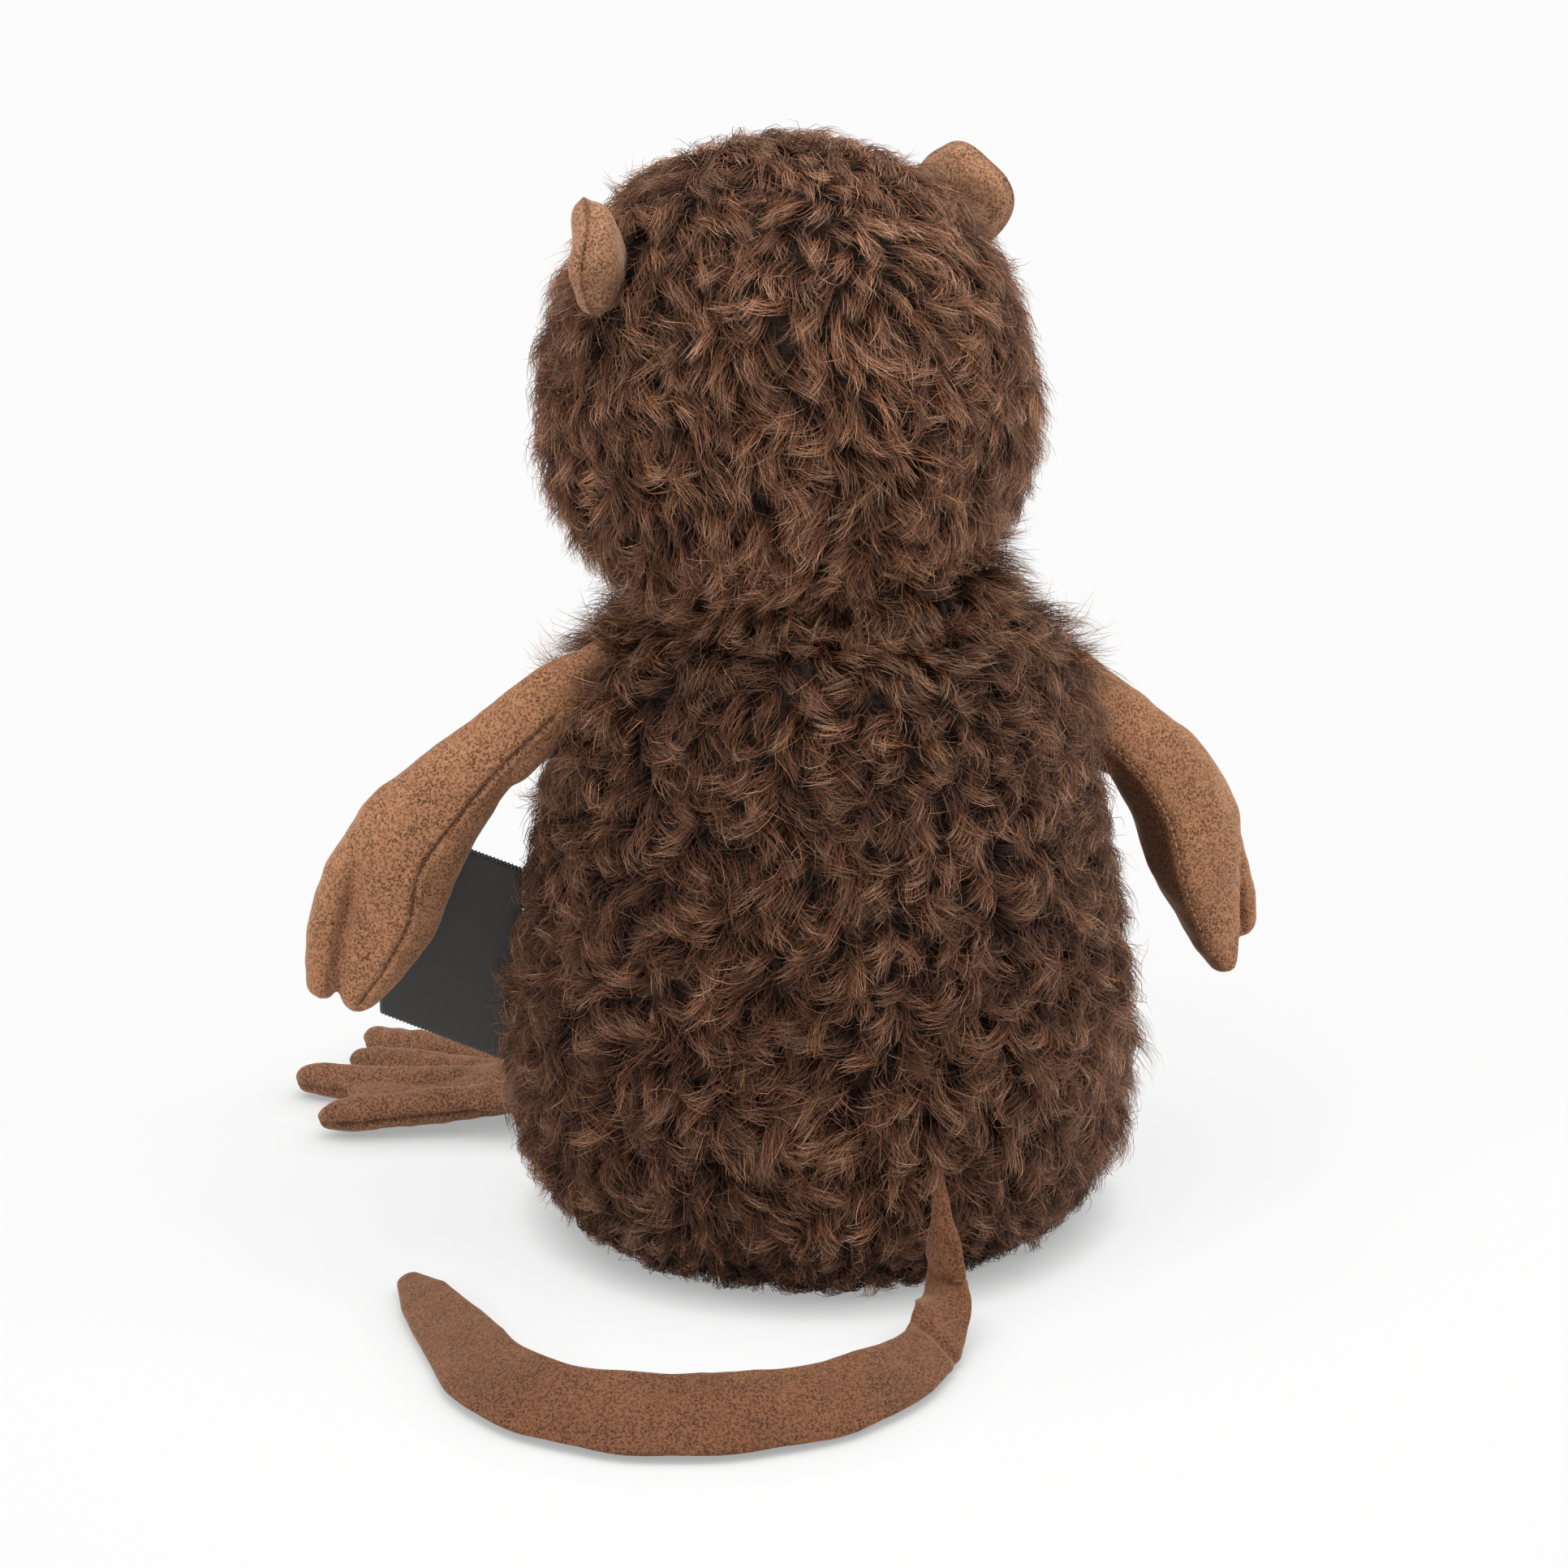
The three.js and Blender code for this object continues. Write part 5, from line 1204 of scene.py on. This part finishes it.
# The tail's suede is darker than the arms', in part painted shade that tones down the lamp above on the
# flat tail.
tail_suede = suede("tail_suede", tint(118, 78, 54), tint(58, 34, 22))
arc_turns = np.linspace(TAIL_ARC_START, 0, 90)
arc_points = TAIL_ARC_CENTRE + np.stack(
    [TAIL_ARC_WIDE * np.cos(arc_turns), TAIL_ARC_DEEP * np.sin(arc_turns), 0 * arc_turns], 1)
landing_way = unit(arc_points[1] - arc_points[0])
hanging = bend_through(TAIL_ROOT, TAIL_ROOT + np.array([0.6, 4, -9]), TAIL_FOLD + np.array([-0.4, -1, 7]),
                       TAIL_FOLD, 30)
settling = bend_through(TAIL_FOLD, TAIL_FOLD + np.array([2.2, 5, -4.5]), arc_points[0] - 7 * landing_way,
                        arc_points[0], 20)
straight = arc_points[-1] + np.linspace(0, TAIL_STRAIGHT, 30)[:, None] * np.array([0, -1, 0])
tail_line = along_line(np.concatenate([hanging, settling[1:], arc_points[1:], straight[1:]]), 0.8)
tail_length = walked_along(tail_line)[-1]
tail_share = np.linspace(0, 1, len(tail_line))
fold_share = walked_along(hanging)[-1] / tail_length
floor_share = fold_share + walked_along(settling)[-1] / tail_length
tail_settled = np.clip(1.6 * (tail_share - fold_share) / (floor_share - fold_share), 0, 1)
tail_settled = tail_settled**2 * (3 - 2 * tail_settled)
tail_stops = [0, 0.05, 0.075, fold_share, floor_share, 0.32, 0.5, 0.78, 0.93, 1]
tail_half = np.interp(tail_share, tail_stops, TAIL_HALF_WIDE)
tail_half = tail_half * rounded((1 - tail_share) * tail_length, TAIL_TIP_ROUND)
hanging_lean = np.interp(tail_share, [0, fold_share], [0, TAIL_FOLD_LEAN])
tail_lean = hanging_lean * (1 - tail_settled) + TAIL_LEAN * tail_settled
tail_ahead = unit(np.gradient(tail_line, axis=0))
level_ahead = np.where(tail_share[:, None] < floor_share, landing_way, tail_ahead)
tail_level = unit(np.cross(UP, level_ahead))
tail_wide = unit(turned(tail_level, -np.cross(tail_ahead, tail_level), tail_lean))
tail_face = unit(np.cross(tail_ahead, tail_wide))
tail_middles = tail_line.copy()
tail_middles[:, 2] += tail_settled * (tail_half * np.sin(TAIL_LEAN) + TAIL_HALF_THICK)
tail_points, tail_faces = tube_shell(tail_middles, tail_wide, tail_face, tail_half,
                                     TAIL_HALF_THICK * np.minimum(1, tail_half / 3), 40)
tail_ways = ways_out(tail_points, tail_faces[:-2])
tail_points = dent(tail_points, tail_ways, TAIL_DENTS, np.random.default_rng(61))
tail_edges = np.concatenate([tail_middles + edge * tail_half[:, None] * tail_wide for edge in (-1, 1)])
tail_points, tail_marks = sew(tail_points, tail_ways, tail_edges, TAIL_SEAM_DEPTH, TAIL_SEAM_WIDTH)
# The two creases across the fold are darkened, painted shade in them.
crease_spread = np.linspace(-1, 1, 40)
for crease_share in (fold_share, floor_share - 0.01):
    crossing = np.searchsorted(tail_share, crease_share + TAIL_CREASE_SLANT * crease_spread)
    crease = (tail_middles[crossing] + (crease_spread * tail_half[crossing])[:, None] * tail_wide[crossing]
              + TAIL_HALF_THICK * tail_face[crossing])
    tail_points, crease_marks = sew(tail_points, tail_ways, crease, TAIL_CREASE_DEPTH, TAIL_CREASE_WIDTH)
    tail_marks = np.maximum(tail_marks, TAIL_CREASE_SHADE * crease_marks)
tail_points[:, 2] = np.maximum(tail_points[:, 2], FLOOR_CLEARANCE)
tail = make_piece("tail_cloth", tail_points, tail_faces, tail_suede)
mark_points(tail, "seam", TAIL_SEAM_SHADE * tail_marks)
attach(tail, "tail")
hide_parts("tail_upper_panel", "tail_under_panel")

# Label
# A black satin ribbon folded double, caught by its two ends in the left side seam. Its cut
# edges are pinked.
LABEL_PLACE = np.array([64.407, -22.269, 57.523])
LABEL_TURN = math.radians(-20)
LABEL_HEIGHT = 47
LABEL_LENGTH = 30
LABEL_RISE = math.tan(math.radians(22))
RIBBON_HALF_GAP = 0.7
RIBBON_THICKNESS = 0.25
RIBBON_CAUGHT = 2
RIBBON_WAVE = 0.9
TOOTH_PITCH = 0.8
TOOTH_DEPTH = 0.35
satin, satin_tree, satin_shader = new_material("satin", {
    "Roughness": 0.38, "Specular IOR Level": 0.45, "Sheen Weight": 0.3,
})
satin_spot = add_node(satin_tree, "TexCoord", {})
satin_threads = add_node(satin_tree, "TexWave", {
    "Vector": satin_spot.outputs["Object"], "Scale": 900, "Distortion": 1.5, "Detail": 2,
}, bands_direction="Z").outputs["Fac"]
satin_colour = add_ramp(satin_tree, satin_threads, [(0.0, tint(22, 19, 18)), (1.0, tint(46, 42, 41))])
satin_bump = add_node(satin_tree, "Bump", {
    "Height": satin_threads, "Strength": 0.35, "Distance": 0.1 * MM,
})
feed(satin_tree, satin_shader, {"Base Color": satin_colour, "Normal": satin_bump.outputs["Normal"]})
fold_turns = np.linspace(-np.pi / 2, np.pi / 2, 12)
flat_run = np.arange(-RIBBON_CAUGHT, LABEL_LENGTH - RIBBON_HALF_GAP, TOOTH_PITCH / 4)
fold_run = LABEL_LENGTH - RIBBON_HALF_GAP * (1 - np.cos(fold_turns))
ribbon_out = np.concatenate([flat_run, fold_run, flat_run[::-1]])
ribbon_side = np.concatenate([0 * flat_run - RIBBON_HALF_GAP, RIBBON_HALF_GAP * np.sin(fold_turns),
                              0 * flat_run + RIBBON_HALF_GAP])
ribbon_path = np.stack([ribbon_out, ribbon_side], 1)
ribbon_way = unit(np.gradient(ribbon_path, axis=0))
ribbon_normal = np.stack([ribbon_way[:, 1], -ribbon_way[:, 0]], 1)
ribbon_walked = walked_along(ribbon_path)
tooth = np.abs((ribbon_walked / TOOTH_PITCH) % 1 - 0.5) * 2 * TOOTH_DEPTH
label_rows = np.linspace(-0.5, 0.5, 40)
label_points = []
for layer in (-0.5, 0.5):
    for row in label_rows:
        path = ribbon_path + layer * RIBBON_THICKNESS * ribbon_normal
        height = row * (LABEL_HEIGHT - 2 * tooth) + LABEL_RISE * path[:, 0]
        bow = np.clip(path[:, 0] / LABEL_LENGTH, 0, 1) ** 1.5
        wave = RIBBON_WAVE * np.sin(row * 4.2 + 0.6) * bow
        label_points.append(np.stack([path[:, 0], path[:, 1] + wave, height], 1))
label_points = np.concatenate(label_points)
front = np.arange(len(label_rows) * len(ribbon_path)).reshape(len(label_rows), -1)
to_back = front.size
label_faces = []
for this_row, next_row in zip(front[:-1], front[1:]):
    for quad in zip(this_row[:-1], this_row[1:], next_row[1:], next_row[:-1]):
        label_faces.append(quad[::-1])
        label_faces.append(tuple(corner + to_back for corner in quad))
label_rim = [*front[0], *front[1:, -1], *front[-1, -2::-1], *front[-2:0:-1, 0]]
for here, after in zip(label_rim, label_rim[1:] + label_rim[:1]):
    label_faces.append((here, after, after + to_back, here + to_back))
label_spin = np.array(Matrix.Rotation(LABEL_TURN, 3, "Z"))
label = make_piece("label_satin", label_points @ label_spin.T + LABEL_PLACE, label_faces, satin)
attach(label, "label")
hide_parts("label_ribbon")

# Ears
# Two round ears, each of two padded suede panels sewn together at the rim, with a straight
# root sewn across the side of the head. They lean back, the back panel is the fuller one, and
# the sewn rim stands out as a ridge.
EAR_WIDTH = 21.5
EAR_ROUND = 22
EAR_HEIGHT = {"left": 14.5, "right": 13}
EAR_CUP = 2.5
EAR_BACK_PUFF = 5.2
EAR_FRONT_PUFF = 4.6
EAR_BASE_HEIGHT = {"left": 74, "right": 71.5}
EAR_SEAT = 0.6
EAR_SQUARE = 2.8
EAR_FULLNESS = 3
EAR_LEAN = math.radians(37)
EAR_SLANT = math.radians(50)
EAR_RINGS = 24
EAR_FACETS = 90
EAR_DENTS = ((-0.25, 9),)
EAR_RIM_RIDGE, EAR_RIM_WIDTH = 0.7, 0.8
EAR_STITCH_SINK = 0.55
ear_suede = suede("ear_suede", tint(162, 119, 90), tint(76, 47, 32))
ear_lean = np.array(Matrix.Rotation(-EAR_LEAN, 3, "X"))
ear_reach = np.sin(np.linspace(0.02, np.pi / 2, EAR_RINGS))
ear_fullness = np.clip(1 - ear_reach**EAR_FULLNESS, 0, 1) ** (1 / EAR_FULLNESS)
spins = np.linspace(0, 2 * np.pi, EAR_FACETS, endpoint=False)
ear_square = np.abs(np.cos(spins)) ** EAR_SQUARE + np.abs(np.sin(spins)) ** EAR_SQUARE
ear_square = ear_square ** (-1 / EAR_SQUARE)
shown_rim = np.roll(np.arange(EAR_FACETS), EAR_FACETS // 4)[5:-5]

for side_name, side in SIDES:
    ear_place, ear_way = on_head(0 if side > 0 else math.pi, EAR_BASE_HEIGHT[side_name])
    uphill = unit(UP - ear_way * ear_way[2])
    along_root = side * (np.array([0, math.cos(EAR_SLANT), 0]) - math.sin(EAR_SLANT) * uphill)
    ear_basis = np.stack([along_root, np.cross(ear_way, along_root), ear_way])
    ear_middle = EAR_HEIGHT[side_name] - EAR_ROUND / 2

    def ear_ring(ring, puff):
        """One ring of the ear's panels at a share of its reach, that far in front of or behind the rim."""
        across = ring * EAR_WIDTH / 2 * ear_square * np.cos(spins)
        rise = ring * EAR_ROUND / 2 * ear_square * np.sin(spins) + ear_middle
        bend = EAR_CUP * (across / (EAR_WIDTH / 2)) ** 2
        return np.stack([across, puff - bend, rise], 1)

    front_rows = [ear_ring(ring, -EAR_FRONT_PUFF * full) for ring, full in zip(ear_reach, ear_fullness)]
    back_rows = [ear_ring(ring, EAR_BACK_PUFF * full) for ring, full in zip(ear_reach, ear_fullness)]
    ear_rows = front_rows + back_rows[-2::-1]
    ear_points = np.concatenate(ear_rows)
    ear_faces = [face[::-1] for face in tube_faces(len(ear_rows), EAR_FACETS)]
    ear_ways = ways_out(ear_points, ear_faces[:-2])
    rim = ear_ring(1, 0)
    ear_points = dent(ear_points, ear_ways, EAR_DENTS, np.random.default_rng(71 + side))
    ear_points, ear_marks = sew(ear_points, ear_ways, rim, -EAR_RIM_RIDGE, EAR_RIM_WIDTH)
    rim_lift = unit(rim - ear_middle * UP)
    thread_line = rim - EAR_STITCH_SINK * rim_lift
    stitch_points, stitch_faces = join_shells(stitch_shells(thread_line[shown_rim], rim_lift[shown_rim]))

    def from_ear(points):
        return from_head(points @ ear_lean.T @ ear_basis + ear_place + EAR_SEAT * ear_way)

    ear = make_piece(f"ear_{side_name}_cloth", from_ear(ear_points), ear_faces, ear_suede)
    mark_points(ear, "seam", ear_marks)
    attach(ear, f"ear_{side_name}")
    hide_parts(f"ear_{side_name}_back", f"ear_{side_name}_front")
    ear_stitches = make_piece(f"ear_{side_name}_stitches", from_ear(stitch_points), stitch_faces,
                              seam_thread)
    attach(ear_stitches, f"ear_{side_name}")

# Muzzle
# A stuffed egg of suede cloth sewn to the front of the head, with a seam down its middle
# and a mouth line sewn across.
MUZZLE_GRAIN = 0.8
MUZZLE_SMOOTHING = 3
MUZZLE_SEAM_DEPTH, MUZZLE_SEAM_WIDTH = 1.2, 1.1
MOUTH_REACH = 1.1
MOUTH_DROP = 34
MOUTH_SMILE = 18


def egg_shell(middle, half):
    turns = np.linspace(-np.pi / 2, np.pi / 2, 40)
    outline = np.stack([np.maximum(np.cos(turns), 0.001), np.sin(turns)], 1)
    points, faces = turned_skin(outline, 1, 60)
    return points * half + middle, faces


def on_muzzle(turn, rise):
    """Points of the muzzle's outside, that far round from its middle and up from its tip."""
    ways = np.stack([np.cos(rise) * np.sin(turn), -np.cos(rise) * np.cos(turn), np.sin(rise)], -1)
    return muzzle_middle + muzzle_half * ways


muzzle_points, muzzle_faces = fuse([egg_shell(muzzle_middle, muzzle_half)], MUZZLE_GRAIN, MUZZLE_SMOOTHING)
muzzle_ways = ways_out(muzzle_points, muzzle_faces)
middle_rise = np.linspace(math.radians(55), math.radians(-75), 60)
mouth_turn = np.linspace(-MOUTH_REACH, MOUTH_REACH, 80)
mouth_rise = np.radians(-MOUTH_DROP + MOUTH_SMILE * (mouth_turn / MOUTH_REACH) ** 2)
muzzle_seams = np.concatenate([on_muzzle(0 * middle_rise, middle_rise), on_muzzle(mouth_turn, mouth_rise)])
muzzle_points, muzzle_marks = sew(
    muzzle_points, muzzle_ways, muzzle_seams, MUZZLE_SEAM_DEPTH, MUZZLE_SEAM_WIDTH)
muzzle_suede = suede("muzzle_suede", tint(174, 130, 100), tint(112, 72, 48))
muzzle = make_piece("muzzle_cloth", from_head(muzzle_points), muzzle_faces, muzzle_suede)
mark_points(muzzle, "seam", muzzle_marks)
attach(muzzle, "head")
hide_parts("muzzle")

# Nose, incisors and eyes
# A flocked nose, two felt incisors sewn under the mouth and two glossy safety eyes, each
# locked by a washer inside the head.
NOSE_WIDTH = 15
NOSE_DEPTH = 9
NOSE_RISE = math.radians(38)
nose_flock = grained("nose_flock", {"Roughness": 0.85, "Sheen Weight": 0.4}, 3000, 2,
                     (0.3, tint(26, 19, 17)), (0.7, tint(58, 46, 42)))
nose_half = np.array([NOSE_WIDTH, NOSE_DEPTH, NOSE_DEPTH]) / 2
nose_points, nose_faces = egg_shell(on_muzzle(0, NOSE_RISE), nose_half)
nose = make_piece("nose_flocked", from_head(nose_points), nose_faces, nose_flock)
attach(nose, "head")
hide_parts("nose")

INCISOR_WIDTH = 5.2
INCISOR_LENGTH = 12
INCISOR_SLIT = 0.8
INCISOR_BACK = 8
INCISOR_CAUGHT = 6
INCISOR_ROUND = 2
FELT = 1.6
tooth_felt = grained("tooth_felt", {"Roughness": 0.95, "Sheen Weight": 0.3}, 1400, 5,
                     (0.35, tint(196, 112, 48)), (0.65, tint(222, 146, 78)))
tooth_top = muzzle_middle + np.array([0, INCISOR_BACK - MUZZLE_LENGTH / 2, -MUZZLE_DEPTH / 3])
tooth_share = np.linspace(0, 1, 30)
tooth_drop = tooth_share * (INCISOR_LENGTH + INCISOR_CAUGHT) - INCISOR_CAUGHT
tooth_half = INCISOR_WIDTH / 2 * rounded((1 - tooth_share) * INCISOR_LENGTH, INCISOR_ROUND)
tooth_half_thick = FELT / 2 * rounded(1.02 - tooth_share, 0.05)
tooth_shells = []
for offset in (-1, 1):
    tooth_aside = offset * (INCISOR_WIDTH + INCISOR_SLIT) / 2
    spine = tooth_top + tooth_aside * np.array([1, 0, 0]) - tooth_drop[:, None] * UP
    tooth_shells.append(tube_shell(spine, [-1, 0, 0], [0, 1, 0], tooth_half, tooth_half_thick, 20))
tooth_points, tooth_faces = join_shells(tooth_shells)
incisors = make_piece("incisors_felt", from_head(tooth_points), tooth_faces, tooth_felt)
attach(incisors, "head")
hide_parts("incisors")

EYE_RADIUS = 5
EYE_DOME = 4.6
EYE_SINK = 1.6
eye_gloss = grained("eye_gloss", {"Roughness": 0.06, "Coat Weight": 1}, 300, 2,
                    (0.3, tint(10, 7, 6)), (0.7, tint(24, 15, 11)))
eye_points, eye_faces = egg_shell(np.zeros(3), np.array([EYE_RADIUS, EYE_RADIUS, EYE_DOME]))
for side_name, (eye_place, eye_way) in eyes.items():
    eye_tilt = np.array(Vector((0, 0, 1)).rotation_difference(Vector(eye_way)).to_matrix())
    eye_seated = eye_points @ eye_tilt.T + eye_place - EYE_SINK * eye_way
    eye = make_piece(f"eye_{side_name}_dome", from_head(eye_seated), eye_faces, eye_gloss)
    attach(eye, "head")
    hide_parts(f"eye_{side_name}", f"eye_washer_{side_name}")
